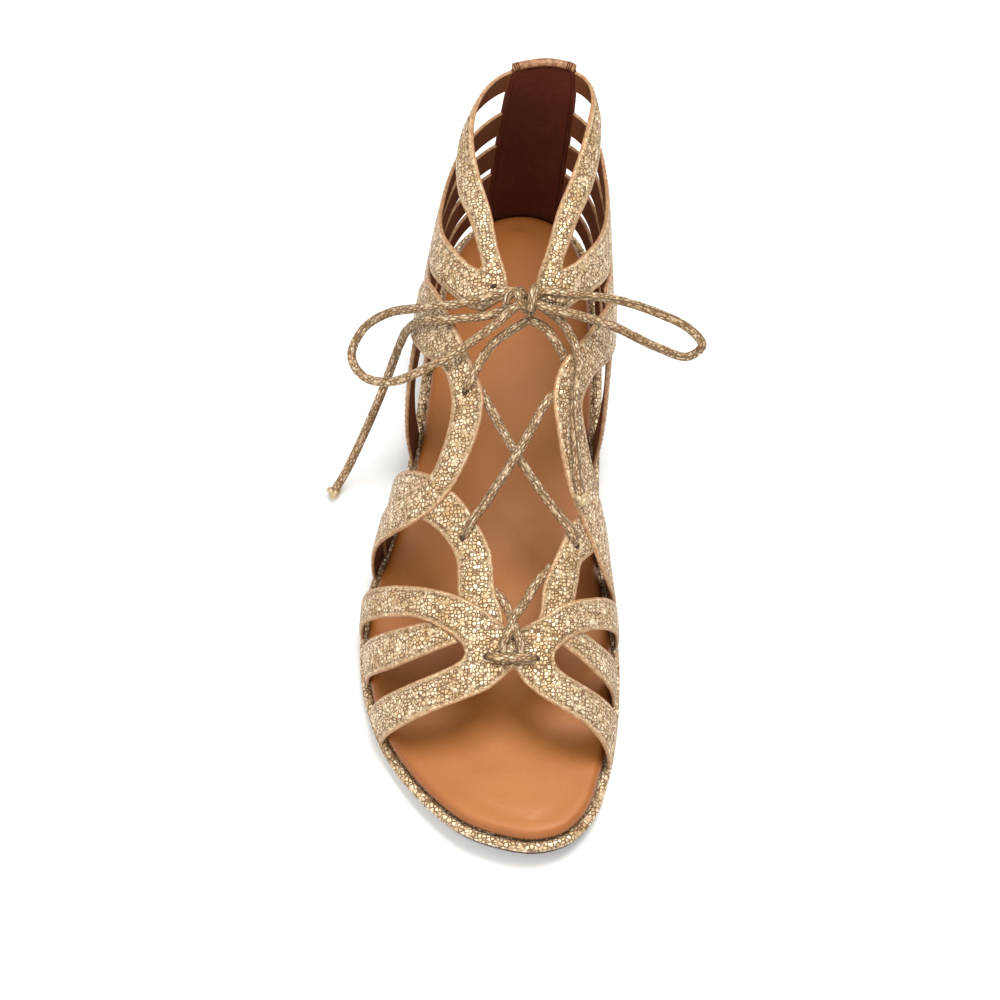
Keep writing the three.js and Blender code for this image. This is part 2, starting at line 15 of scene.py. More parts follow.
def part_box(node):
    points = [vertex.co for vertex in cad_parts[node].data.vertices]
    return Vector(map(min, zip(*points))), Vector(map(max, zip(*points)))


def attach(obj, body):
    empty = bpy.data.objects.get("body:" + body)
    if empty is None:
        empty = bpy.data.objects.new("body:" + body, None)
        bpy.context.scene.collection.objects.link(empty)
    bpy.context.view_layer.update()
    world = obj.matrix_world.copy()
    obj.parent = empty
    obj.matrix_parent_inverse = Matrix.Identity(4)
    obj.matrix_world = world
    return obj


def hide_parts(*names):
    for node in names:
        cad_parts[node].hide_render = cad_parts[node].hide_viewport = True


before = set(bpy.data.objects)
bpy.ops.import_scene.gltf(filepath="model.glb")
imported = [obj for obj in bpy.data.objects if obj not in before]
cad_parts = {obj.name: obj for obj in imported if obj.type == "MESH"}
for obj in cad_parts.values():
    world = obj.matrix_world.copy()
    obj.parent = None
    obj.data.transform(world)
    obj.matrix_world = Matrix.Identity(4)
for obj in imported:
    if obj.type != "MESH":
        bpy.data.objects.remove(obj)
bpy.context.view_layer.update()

bl_info = {
    "name": "Gladiator sandal",
    "version": (1, 0, 0),
    "blender": (4, 5, 0),
    "location": "3D View > Sidebar > Sandal",
    "description": "Builds the straps, sole, laces and studio of a laced gladiator sandal",
    "category": "Add Mesh",
}

MM = 0.001
OUTER, INNER = -1, 1
SIDE_NAMES = {OUTER: "outer", INNER: "inner"}

# ---------- the shoe's own tables, in millimetres ----------
GAP = 0.3
OUTSOLE = 3.0
MIDSOLE = 4.5
INSOLE = 4.6
INSOLE_DOME = 0.9
INSOLE_INSET = 4.0
INSOLE_WIDENS = (120, 175, 1.0)    # from and to these distances from the heel the inset shrinks by this
OUTSOLE_INSET = 0.6
HEEL_INSET = 1.6
HEEL_FRONT = -64
STRAP_INSET = 2.6
HEEL_LEAN = 9                      # how far the top of the heel leans to the inner side
LEAN_REACH = 110                   # arc along the sole's edge where that lean has faded out
PANEL_INNER, PANEL_OUTER = -1.0, 2.4    # inner and outer face of the heel panel, from the last's surface
SOLE_SPAN = (-247.3, 3)            # the sole's ends along Y

# The sole's edge, heel centre first, then up the inner side to the toe and back down the outer side.
OUTLINE = [
    # x, y
    (1, 3), (11, 1), (19.5, -5), (25.5, -15), (29, -34), (30, -60), (29.5, -85), (28.5, -108), (29, -130),
    (31.5, -150), (34, -170), (34, -190), (32.5, -207), (29.5, -222), (25, -235), (17, -244),
    (6, -247.3), (-6, -245.5), (-18, -240.5), (-29, -231), (-38, -220), (-45.5, -207),
    (-50.5, -191), (-52.5, -172), (-51, -154), (-46.5, -136), (-41, -116), (-37.5, -97),
    (-34.5, -72), (-31.5, -44), (-26.5, -19), (-19.5, -7), (-10, 0.5),
]
RISE = [
    # distance from the heel, height of the midsole's underside
    (-3, 13.5), (20, 13.2), (45, 12.4), (65, 11), (85, 8.8), (105, 6.2), (125, 4.2), (145, OUTSOLE),
    (205, OUTSOLE), (225, 4.3), (247.3, 7.6),
]
# The last above the sole, a section each "arc" along the sole's edge from the heel's centre.
LAST = {
    OUTER: [
        # arc, crest x, crest y, crest z, power, bulge
        (0, 9, 1, 107, 4, 0), (20, 0, -1, 106, 4, 0.3), (45, -7, -22, 103, 3.8, 0.8),
        (70, -8, -48, 99, 3.2, 2), (95, -6, -70, 95, 2.6, 3.5), (115, 0, -86, 90, 2.4, 4.5),
        (135, 1, -104, 81, 2.4, 2.5), (155, 0, -124, 68, 2.4, 1), (180, -1, -150, 55, 2.4, 0.5),
        (205, -1, -178, 45, 2.4, 0), (225, -1, -196, 39, 2.4, 0), (250, 0, -214, 33, 2.3, 0),
    ],
    INNER: [
        (0, 9, 1, 107, 4, 0), (20, 16, -1, 106, 4, 0.2), (45, 13, -22, 103, 3.6, 0.8),
        (70, 12, -48, 99, 3, 2.6), (95, 9, -70, 95, 2.6, 5), (115, 3, -86, 90, 2.4, 5.5),
        (135, 1, -104, 81, 2.4, 3), (155, 0, -124, 68, 2.4, 1.5), (180, -1, -150, 55, 2.4, 0.5),
        (205, -1, -178, 45, 2.4, 0), (225, -1, -196, 39, 2.4, 0), (250, 0, -214, 33, 2.3, 0),
    ],
}
# Straps on the last. A row is a place along the strap: arc and height of one edge, then of the other.
VAMP = {
    OUTER: {
        "back": [(180, 0, 191, 0), (182, 0.18, 192, 0.16), (189, 0.465, 199, 0.475),
                 (193, 0.615, 203, 0.64),
                 (196, 0.715, 208, 0.745), (199, 0.8, 213, 0.815), (201, 0.845, 218.5, 0.855)],
        "front": [(220, 0, 231, 0), (222, 0.255, 233, 0.165), (223.5, 0.465, 235, 0.39),
                  (223.5, 0.635, 235.5, 0.62), (222.5, 0.755, 235, 0.77), (221, 0.815, 234, 0.86),
                  (218.5, 0.855, 233, 0.91)],
        "head": [(201, 0.845, 218.5, 0.855, 233, 0.91), (205, 0.91, 219, 0.925, 230.5, 0.955),
                 (213, 1, 219.5, 1, 226, 1)],
    },
    INNER: {
        "back": [(179, 0, 191, 0), (182, 0.17, 192, 0.135), (189, 0.425, 199, 0.425),
                 (195, 0.615, 205, 0.615),
                 (198, 0.705, 210, 0.725), (201, 0.78, 214.5, 0.79), (204, 0.835, 218.5, 0.825)],
        "front": [(220, 0, 236, 0), (221, 0.245, 235.5, 0.2), (222, 0.425, 235, 0.37),
                  (222.5, 0.56, 234.5, 0.535), (222.5, 0.68, 234.5, 0.685), (221.5, 0.77, 234, 0.815),
                  (218.5, 0.825, 233, 0.89)],
        "head": [(204, 0.835, 218.5, 0.825, 233, 0.89), (208, 0.91, 219, 0.92, 230.5, 0.955),
                 (213, 1, 219.5, 1, 226, 1)],
    },
}
MIDDLE = {
    OUTER: [(196, 0, 208.5, 0), (199, 0.19, 210, 0.135), (203, 0.445, 215, 0.425),
            (205, 0.635, 215.5, 0.65),
            (206, 0.78, 214, 0.815)],
    INNER: [(200, 0, 213, 0), (203, 0.245, 214, 0.215), (205, 0.465, 215, 0.465), (205, 0.635, 213.5, 0.65),
            (206, 0.76, 212, 0.8)],
}
GHILLIE = {
    OUTER: [(212, 0.975, 207, 0.845), (206, 0.97, 199, 0.825), (200, 0.95, 194.5, 0.825),
            (193, 0.945, 188, 0.815), (187, 0.93, 181, 0.76), (179, 0.88, 175, 0.68),
            (171, 0.81, 171, 0.595),
            (161, 0.67, 166, 0.465), (151, 0.445, 161, 0.265), (145, 0.245, 158.5, 0.135),
            (143.5, 0, 158, 0)],
    INNER: [(212, 0.945, 207, 0.815), (206, 0.89, 200, 0.705), (197, 0.87, 191, 0.66),
            (189, 0.815, 185, 0.635), (182, 0.76, 180, 0.56), (175, 0.7, 175, 0.465),
            (165, 0.54, 168, 0.325),
            (156, 0.385, 163, 0.205), (148, 0.215, 160, 0.115), (145, 0, 159, 0)],
}
CURVED = {
    OUTER: [(167, 0, 153, 0), (169, 0.245, 157, 0.265), (173, 0.49, 160, 0.465), (173.5, 0.65, 162, 0.595),
            (170, 0.76, 161, 0.68), (163, 0.825, 154, 0.725), (155, 0.865, 146, 0.745),
            (148, 0.88, 139, 0.735),
            (142, 0.87, 131, 0.69), (134, 0.825, 121, 0.575), (124, 0.77, 110, 0.465),
            (113, 0.715, 101, 0.375),
            (104, 0.665, 94, 0.335), (96, 0.595, 89, 0.365), (91, 0.52, 88, 0.435)],
    INNER: [(181, 0, 163, 0), (182, 0.245, 162, 0.215), (181, 0.425, 159, 0.345), (175, 0.56, 156, 0.435),
            (170, 0.65, 152, 0.49), (165, 0.715, 148, 0.55), (158, 0.76, 144, 0.595),
            (149, 0.8, 139, 0.635),
            (142, 0.825, 133, 0.615), (134, 0.8, 124, 0.55), (126, 0.735, 115, 0.455),
            (117, 0.66, 105, 0.37),
            (108, 0.605, 97, 0.335), (99, 0.535, 91, 0.355), (93, 0.475, 90, 0.405)],
}
COLLAR = {
    OUTER: [(6, 0.735, 6, 0.61), (22, 0.78, 22, 0.635), (38, 0.835, 38, 0.675), (54, 0.895, 55, 0.735),
            (68, 0.95, 71, 0.81), (81, 0.985, 84, 0.885), (93, 0.99, 97, 0.91), (102, 0.985, 107, 0.9)],
    INNER: [(6, 0.735, 6, 0.61), (22, 0.77, 22, 0.63), (38, 0.825, 38, 0.675), (54, 0.885, 55, 0.735),
            (68, 0.94, 71, 0.81), (81, 0.98, 84, 0.875), (94, 0.99, 97, 0.9), (104, 0.985, 109, 0.91)],
}
SECOND = {
    OUTER: [(6, 0.5, 6, 0.395), (22, 0.49, 22, 0.385), (38, 0.49, 38, 0.385), (54, 0.525, 56, 0.4),
            (68, 0.585, 73, 0.455), (81, 0.675, 88, 0.555), (93, 0.785, 101, 0.675),
            (107, 0.9, 111, 0.765)],
    INNER: [(6, 0.5, 6, 0.395), (22, 0.49, 22, 0.385), (38, 0.49, 38, 0.385), (54, 0.525, 56, 0.4),
            (68, 0.585, 73, 0.455), (82, 0.685, 89, 0.555), (96, 0.81, 103, 0.685), (109, 0.91, 113, 0.78)],
}
TAB = {
    OUTER: [(102, 0.985, 107, 0.9, 111, 0.765), (111, 0.975, 112.5, 0.91, 116, 0.815),
            (117, 0.96, 118, 0.915, 119, 0.87)],
    INNER: [(104, 0.985, 109, 0.91, 113, 0.78), (112, 0.975, 114, 0.91, 117.5, 0.825),
            (118, 0.96, 119, 0.915, 120, 0.87)],
}
HEEL_STRAPS = {
    "third": [(6, 0.345, 6, 0.255), (24, 0.34, 24, 0.245), (42, 0.355, 42, 0.255), (58, 0.39, 60, 0.27),
              (72, 0.445, 76, 0.315), (85, 0.51, 91, 0.385), (96, 0.575, 103, 0.47)],
    "fourth": [(6, 0.225, 6, 0.14), (24, 0.215, 24, 0.135), (42, 0.235, 42, 0.14), (58, 0.27, 58, 0.15),
               (74, 0.315, 72, 0.17), (90, 0.365, 86, 0.19), (104, 0.36, 98, 0.2), (115, 0.295, 105, 0.175),
               (121, 0.16, 109, 0.09), (122, 0, 110, 0)],
    "fifth": [(6, 0.115, 6, 0.05), (24, 0.11, 24, 0.05), (42, 0.115, 42, 0.045), (58, 0.125, 55, 0.045),
              (72, 0.12, 65, 0.035), (82, 0.085, 71, 0.025), (87, 0, 74, 0)],
}
PANEL = [
    # half width along the sole's edge, height on the last
    (17, 0), (16.5, 0.025), (15.6, 0.075), (14.8, 0.18), (14.2, 0.365), (13.9, 0.575), (13.6, 0.745),
    (12.2, 0.775),
]

# Routes of the lace. A place on the last is (arc, height, side, lift); a free place is (x, y, z).
ON_STRAP = 4.6
BAR = [(222.5, 0.965, OUTER, ON_STRAP), (222.5, 0.975, INNER, ON_STRAP)]
MID_CROSS = [
    [(-9.6, -118.5, 72), (0, -133, 63.8), (13, -150, 55.8)],
    [(9.8, -117.5, 73.5), (0, -133, 66.0), (-11.8, -149.5, 57.6)],
]
TOP_CROSS = [
    [(-5, -101, 85.5), (3.3, -96.4, 88.2)],
    [(8.6, -98.4, 86.4), (3.3, -96.4, 88.2)],
]
# What each taut run adds to its route: it comes up through one hole, or out from under a strap, and goes
# down another. Depths below the leather are negative lifts.
BAR_ENDS = ([(221.0, 0.928, OUTER, 0.8), (221.3, 0.941, OUTER, 3.7)],
            [(221.2, 0.93, INNER, 3.7), (220.8, 0.916, INNER, 0.8)])
LOW_RUNS = [
    [(197, 0.915, OUTER, -1.8), (199.5, 0.945, OUTER, -1.2), (203, 0.975, OUTER, 0.2),
     (208.5, 0.995, OUTER, 1.2),
     (213.3, 0.99, INNER, 4.4), (217.3, 0.975, INNER, 4.2), (220.6, 0.972, INNER, 3.3)],
    [(190, 0.82, INNER, -1.8), (193, 0.86, INNER, -1.2), (197.5, 0.915, INNER, 0.4),
     (204, 0.965, INNER, 2.4),
     (209.5, 1, INNER, 4.2), (213.6, 0.99, OUTER, 4.6), (217.5, 0.975, OUTER, 4.2),
     (220.6, 0.972, OUTER, 3.3)],
]
MID_HEADS = [[(139, 0.83, OUTER, -1.2), (142.5, 0.862, OUTER, -1.0)],
             [(138.5, 0.765, INNER, -1.1), (141.3, 0.80, INNER, -0.8)]]
MID_TAILS = [[(177, 0.735, INNER, 3.0), (178.6, 0.702, INNER, 2.9), (179.6, 0.682, INNER, 1.3),
              (180, 0.674, INNER, -0.4)],
             [(178.8, 0.884, OUTER, 3.0), (181.2, 0.864, OUTER, 2.9), (182.6, 0.852, OUTER, 1.3),
              (183.2, 0.846, OUTER, -0.4)]]
TOP_HEADS = [[(141, 0.808, OUTER, 0.8), (140.3, 0.814, OUTER, 2.9), (138.5, 0.832, OUTER, 4.2),
              (135, 0.862, OUTER, 3.9), (131.5, 0.897, OUTER, 2.4)],
             [(131, 0.715, INNER, -1.1), (129, 0.765, INNER, -0.7), (127.5, 0.83, INNER, 0.6)]]
# Where a lace dives through the leather: arc, height, side, layer of the strap, turn of the slit, size.
HOLES = [(221.0, 0.926, OUTER, 1, 0.2, 1), (220.7, 0.913, INNER, 1, -0.2, 1),
         (183.3, 0.845, OUTER, 0, 1.0, 1),
         (180.1, 0.672, INNER, 0, -0.9, 1), (141.1, 0.807, OUTER, 1, 1.0, 1),
         (112, 0.925, OUTER, 0, 0.4, 0.7),
         (114, 0.93, INNER, 0, -0.4, 0.7)]
BOW_KNOT = (3.3, -92.6, 93.6)
BOW_LOOPS = {
    "outer": [(-1.5, -90.3, 95.2), (-8, -91.5, 95), (-18, -93, 92.4), (-33, -89, 84), (-43, -86, 77),
              (-51, -88, 71), (-55, -95, 66), (-51, -103, 65.5), (-41, -109, 71), (-30, -109.5, 79),
              (-18, -106.5, 86.5), (-8, -101, 91), (-1.2, -96.4, 94.8)],
    "inner": [(8, -90.8, 95.5), (16, -91, 94.8), (32, -89, 89), (46, -89, 81.5), (55.5, -91, 76.5),
              (60.5, -94, 71), (56, -95.5, 66.5), (45.3, -95.5, 72), (30, -95.5, 84), (18, -96.6, 91.4),
              (8.2, -96.4, 95)],
}
LACE_ENDS = {
    "outer": [(-1.6, -93.4, 90.7), (-11, -95.5, 88.8), (118, 0.745, OUTER, 5), (112, 0.615, OUTER, 5),
              (108, 0.485, OUTER, 5), (105, 0.37, OUTER, 5.5), (-47, -93, 38), (-53.5, -98, 21),
              (-60, -104.5, 8), (-64, -109, 3.2)],
    "inner": [(8.2, -93.6, 90.8), (14.5, -98, 88), (129, 0.725, INNER, ON_STRAP),
              (138, 0.725, INNER, ON_STRAP), (146, 0.715, INNER, ON_STRAP), (154, 0.7, INNER, ON_STRAP),
              (161, 0.69, INNER, ON_STRAP), (167, 0.67, INNER, 5)],
}


# ---------- sizes and colours a user would change ----------
def length_property(name, description, millimetres):
    return FloatProperty(name=name, description=description, default=millimetres * MM, min=0.0,
                         precision=5, unit="LENGTH")


def colour_property(name, description, colour):
    return FloatVectorProperty(name=name, description=description, default=colour, size=3, min=0.0, max=1.0,
                               subtype="COLOR")


class SandalLeather(PropertyGroup):
    """Sizes of the strap leather and its stitching."""

    thickness: length_property("Thickness", "Thickness of a strap", 1.5)
    lap: length_property("Lap", "How far an overlapping strap stands above the one below", 1.1)
    cell: length_property("Cell", "Size of the mesh cells of a strap", 0.95)
    stitch_inset: length_property("Stitch inset", "Distance of a stitch row from the strap's edge", 1.25)
    stitch_pitch: length_property("Stitch pitch", "Distance from one stitch to the next", 2.3)
    stitch_radius: length_property("Stitch radius", "Half the thickness of the thread", 0.2)
    scale_size: length_property("Scale size", "Size of the embossed snake scales", 1.2)


class SandalLace(PropertyGroup):
    """Sizes of the lace and its knots."""

    diameter: length_property("Diameter", "Diameter of the lace", 3.0)
    eyelet: length_property("Eyelet", "Radius of a punched lace hole", 1.5)


class SandalColours(PropertyGroup):
    """Colours of the leathers, thread, rubber and floor."""

    gold: colour_property("Gold", "Foil on the embossed leather", (0.44, 0.275, 0.12))
    # the pale foil is partly the leather's own paler tint and partly painted glint on scales that catch the
    # light
    pale: colour_property("Pale foil", "Palest scales of the embossed leather", (0.93, 0.77, 0.54))
    crack: colour_property("Crack", "Dark lines between the scales", (0.135, 0.062, 0.02))
    edge: colour_property("Cut edge", "Painted cut edges of the straps", (0.27, 0.125, 0.05))
    lining: colour_property("Lining", "Suede lining of the heel panel", (0.058, 0.0085, 0.003))
    strap_back: colour_property("Strap lining", "Lining of the straps", (0.105, 0.030, 0.010))
    insole: colour_property("Insole", "Leather of the insole", (0.30, 0.098, 0.0165))
    rubber: colour_property("Rubber", "Outsole and heel", (0.045, 0.020, 0.010))
    thread: colour_property("Thread", "Stitches along the straps", (0.36, 0.22, 0.11))
    floor: colour_property("Floor", "Studio floor", (0.86, 0.86, 0.86))


# ---------- curves ----------
def hermite(rows, at):
    """Columns of a table at places of its first column.

    Between two rows each column follows a cubic whose slope at a row is the rise between the rows on its
    two sides divided by their distance.
    """
    rows = np.asarray(rows, float)
    x, y = rows[:, 0], rows[:, 1:]
    last = len(x) - 1
    at = np.asarray(at, float)
    before, after = np.maximum(np.arange(last + 1) - 1, 0), np.minimum(np.arange(last + 1) + 1, last)
    slope = (y[after] - y[before]) / (x[after] - x[before])[:, None]
    i = np.clip(np.searchsorted(x[1:], at, side="left"), 0, last - 1)
    step = (x[i + 1] - x[i])[..., None]
    t = np.clip((at - x[i])[..., None] / step, 0, 1)
    value = y[i] * (1 + 2 * t) * (1 - t) ** 2 + y[i + 1] * t * t * (3 - 2 * t)
    return value + step * (slope[i] * t * (1 - t) ** 2 - slope[i + 1] * t * t * (1 - t))


SPAN_POINTS = 48               # points of a smooth curve from one given point to the next


def centripetal(points, closed):
    """Dense points of a smooth curve through the given ones.

    A cubic joins each pair of points; its end slopes come from the neighbours, weighted by the square
    roots of the distances between them.
    """
    p = np.asarray(points, float)
    if closed:
        p0, p1, p2, p3 = np.roll(p, 1, 0), p, np.roll(p, -1, 0), np.roll(p, -2, 0)
    else:
        more = np.vstack([2 * p[0] - p[1], p, 2 * p[-1] - p[-2]])
        p0, p1, p2, p3 = more[:-3], more[1:-2], more[2:-1], more[3:]
    d0, d1, d2 = (np.sqrt(np.linalg.norm(b - a, axis=1))[:, None] for a, b in ((p0, p1), (p1, p2), (p2, p3)))
    m1 = d1 * ((p1 - p0) / d0 - (p2 - p0) / (d0 + d1) + (p2 - p1) / d1)
    m2 = d1 * ((p2 - p1) / d1 - (p3 - p1) / (d1 + d2) + (p3 - p2) / d2)
    t = (np.arange(SPAN_POINTS) / SPAN_POINTS)[None, :, None]
    spans = ((2 * t**3 - 3 * t**2 + 1) * p1[:, None] + (t**3 - 2 * t**2 + t) * m1[:, None]
             + (3 * t**2 - 2 * t**3) * p2[:, None] + (t**3 - t**2) * m2[:, None])
    return np.vstack([spans.reshape(-1, p.shape[1]), p[:1] if closed else p[-1:]])


def evenly(dense, count):
    """The points that split a dense line into equal lengths, and the line's length."""
    run = np.concatenate([[0], np.cumsum(np.linalg.norm(np.diff(dense, axis=0), axis=1))])
    at = np.linspace(0, run[-1], count)
    return np.stack([np.interp(at, run, column) for column in dense.T], axis=1), run[-1]


def unit(vectors):
    return vectors / np.maximum(np.linalg.norm(vectors, axis=-1, keepdims=True), 1e-9)


RING = 1440
EDGE_LINE, EDGE_LENGTH = evenly(centripetal(OUTLINE, True), RING + 1)
EDGE_LINE = EDGE_LINE[:-1]
EDGE_ALONG = unit(np.roll(EDGE_LINE, -1, 0) - np.roll(EDGE_LINE, 1, 0))
EDGE_OUT = np.stack([-EDGE_ALONG[:, 1], EDGE_ALONG[:, 0]], axis=1)


def edge_ring(inset):
    """The sole's edge moved inward by a distance, or by a distance for each of its points."""
    return EDGE_LINE - EDGE_OUT * np.reshape(inset, (-1, 1))


STRAP_LINE = edge_ring(STRAP_INSET)


def sole_rise(y):
    return np.maximum(OUTSOLE, hermite(RISE, -np.asarray(y, float))[..., 0])


def own_frame_shift():
    """Metres from the shoe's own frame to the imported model's, read from the midsole's box."""
    low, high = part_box("midsole")
    middle = (EDGE_LINE.min(0) + EDGE_LINE.max(0)) / 2 * MM
    return np.array([(low[0] + high[0]) / 2 - middle[0], (low[1] + high[1]) / 2 - middle[1], 0.0])


SHIFT = own_frame_shift()


def placed(points):
    """Own-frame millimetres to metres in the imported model's frame."""
    return np.asarray(points, float) * MM + SHIFT


# ---------- the last ----------
def on_last(arc, height, side):
    """Points of the last.

    A section rises from the sole's edge to its crest: its height follows the sine of a quarter turn, its
    reach the superellipse (1 - up^power)^(1/power), its side bulges by the sine of a half turn, and the
    heel leans inward.
    """
    arc, height = np.broadcast_arrays(np.asarray(arc, float), np.asarray(height, float))
    cx, cy, cz, power, bulge = np.moveaxis(hermite(LAST[side], arc), -1, 0)
    place = (side * arc / EDGE_LENGTH % 1) * RING
    i = np.floor(place).astype(int) % RING
    share = (place - np.floor(place))[..., None]
    foot = STRAP_LINE[i] * (1 - share) + STRAP_LINE[(i + 1) % RING] * share
    foot_z = sole_rise(foot[..., 1]) + MIDSOLE + GAP
    angle = np.clip(height, 0, 1) * pi / 2
    up = np.sin(angle)
    out = np.maximum(0, 1 - up**power) ** (1 / power)
    lean = HEEL_LEAN * up * out * np.maximum(0, 1 - arc / LEAN_REACH)
    return np.stack([
        cx + (foot[..., 0] - cx) * out + side * bulge * np.sin(2 * angle) + lean,
        cy + (foot[..., 1] - cy) * out,
        foot_z + (cz - foot_z) * up,
    ], axis=-1)


def last_normal(arc, height, side):
    """Outward directions of the last: the cross product of its upward and forward tangents."""
    h = np.clip(height, 0.02, 0.985)
    along = on_last(arc + 1, h, side) - on_last(np.asarray(arc) - 1, h, side)
    upward = on_last(arc, h + 0.012, side) - on_last(arc, h - 0.012, side)
    return unit(np.cross(upward, along) * side)


def route_points(places):
    """A lace's route: places on the last are lifted off it along its normal, free places stay."""
    return np.array([
        on_last(p[0], p[1], p[2]) + last_normal(p[0], p[1], p[2]) * p[3] if len(p) == 4 else p for p in places
    ], float)


# ---------- mesh making ----------
def new_piece(name, points, faces, materials, face_slots=None, smooth=True):
    """A mesh piece from points in own-frame millimetres; its object stays at the origin."""
    mesh = bpy.data.meshes.new(name)
    mesh.from_pydata(placed(points).tolist(), [], [list(f) for f in faces])
    for material in materials:
        mesh.materials.append(material)
    if face_slots is not None:
        mesh.polygons.foreach_set("material_index", np.asarray(face_slots, np.int32))
    mesh.polygons.foreach_set("use_smooth", np.full(len(mesh.polygons), smooth))
    mesh.update()
    mesh.validate()
    piece = bpy.data.objects.new(name, mesh)
    bpy.context.scene.collection.objects.link(piece)
    return piece


def point_attribute(piece, name, values):
    layer = piece.data.attributes.new(name, "FLOAT", "POINT")
    layer.data.foreach_set("value", np.asarray(values, np.float32))


def point_uv(piece, uv):
    """A UV map that gives every corner the UV of its point."""
    corners = np.empty(len(piece.data.loops), np.int32)
    piece.data.loops.foreach_get("vertex_index", corners)
    layer = piece.data.uv_layers.new(name="UVMap")
    layer.data.foreach_set("uv", np.asarray(uv, np.float32)[corners].ravel())


def grid_quads(rows, columns, closed_columns=False):
    """Corner numbers of the quads of a grid whose points are numbered row by row."""
    across = np.arange(columns if closed_columns else columns - 1)
    r, c = (a.ravel() for a in np.meshgrid(np.arange(rows - 1), across, indexing="ij"))
    here, below = r * columns, (r + 1) * columns
    right = (c + 1) % columns
    return np.stack([here + c, below + c, below + right, here + right], axis=1)


WELD = 50                      # grid steps a millimetre: points that round to one step are made one


def weld(points):
    """The numbers of the points that stay when close ones are made one, and each point's new number."""
    keys = np.round(points * WELD).astype(int)
    _, first, where = np.unique(keys, axis=0, return_index=True, return_inverse=True)
    return first, where.ravel()


def distinct(faces):
    """Faces as lists that name each of their points once."""
    return [list(dict.fromkeys(face)) for face in faces.tolist()]


def dress(piece, slot, *nodes):
    """Lets a piece ride on the shoe and hides the CAD nodes that it stands for; the slot is not used."""
    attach(piece, "root")
    if nodes:
        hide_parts(*nodes)
    return piece


SLOT_WIDTH = 3.8               # width of a slot where its rounded end begins
SLOT_COLUMNS = 6
SLOT_PULL = 0.42               # how far the round is drawn in, as a share of its length


class Sheet:
    """Bands of leather on the last, welded where they share an edge."""

    def __init__(self, cell):
        self.cell = cell
        self.points, self.normals, self.quads, self.count = [], [], [], 0

    def add(self, points, normals):
        rows, columns = points.shape[:2]
        self.points.append(points.reshape(-1, 3))
        self.normals.append(normals.reshape(-1, 3))
        self.quads.append(grid_quads(rows, columns) + self.count)
        self.count += rows * columns

    def band(self, side, rows, along=None, across=None):
        """A band between two edges: each edge is a cubic through its rows, straight in between."""
        table = np.column_stack([np.arange(len(rows)), np.asarray(rows, float)])
        along = along or steps_along(side, rows, self.cell)
        across = across or steps_across(side, rows, self.cell)
        edges = hermite(table, np.linspace(0, len(rows) - 1, along + 1))[:, None, :]
        share = np.linspace(0, 1, across + 1)[None, :]
        arc = edges[..., 0] + (edges[..., 2] - edges[..., 0]) * share
        height = edges[..., 1] + (edges[..., 3] - edges[..., 1]) * share
        points, normals = on_last(arc, height, side), last_normal(arc, height, side)
        self.add(points, normals)
        return points, normals

    def slot_end(self, first, second):
        """Rounds the end of the slot between two bands that run together.

        Their facing edges are joined row by row from the slot's end to where it is SLOT_WIDTH wide, and the
        open side is drawn in toward the end by a parabola across the slot.
        """
        edges, facing = ([first[i][::-1, -1], second[i][::-1, 0]] for i in (0, 1))
        rows = min(len(edges[0]), len(edges[1]))
        wide = np.linalg.norm(edges[0][:rows] - edges[1][:rows], axis=1) > SLOT_WIDTH
        count = int(np.argmax(wide)) + 1
        share = np.linspace(0, 1, SLOT_COLUMNS + 1)[None, :]
        place = np.arange(count)[:, None] * (1 - SLOT_PULL * 4 * share * (1 - share))
        number = np.arange(rows)

        def between(pair):
            a, b = (
                np.stack([np.interp(place, number, line[:rows, k]) for k in range(3)], axis=-1)
                for line in pair
            )
            return a + (b - a) * share[..., None]

        self.add(between(edges), unit(between(facing)))

    def welded(self):
        """Points, unit normals and quads facing outward, with points closer than 0.02 mm made one."""
        points, normals = np.vstack(self.points), np.vstack(self.normals)
        quads = np.vstack(self.quads)
        first, where = weld(points)
        summed = np.zeros((len(first), 3))
        np.add.at(summed, where, normals)
        points, normals, quads = points[first], unit(summed), where[quads]
        a, b, c, d = points[quads].transpose(1, 0, 2)
        turned = (np.cross(c - a, d - b) * normals[quads].sum(1)).sum(1) < 0
        quads[turned] = quads[turned][:, ::-1]
        return points, normals, quads


def steps_along(side, rows, cell):
    """How many cells fit along a band's middle line."""
    rows = np.asarray(rows, float)
    middle = on_last((rows[:, 0] + rows[:, 2]) / 2, (rows[:, 1] + rows[:, 3]) / 2, side)
    return max(len(rows) - 1, int(np.ceil(np.linalg.norm(np.diff(middle, axis=0), axis=1).sum() / cell)))


def steps_across(side, rows, cell):
    rows = np.asarray(rows, float)
    one, other = on_last(rows[:, 0], rows[:, 1], side), on_last(rows[:, 2], rows[:, 3], side)
    return max(4, int(np.ceil(np.linalg.norm(one - other, axis=1).mean() / cell)))


RIM_STEPS = 6                  # quads round a strap's edge
RIM_DRAW = 0.6                 # how far the rim is drawn in, as a share of its radius
EDGE_DROP = 0.3                # how far a strap's face sinks at its edge
EDGE_REACH = 0.8               # how fast that fades with the distance from the edge


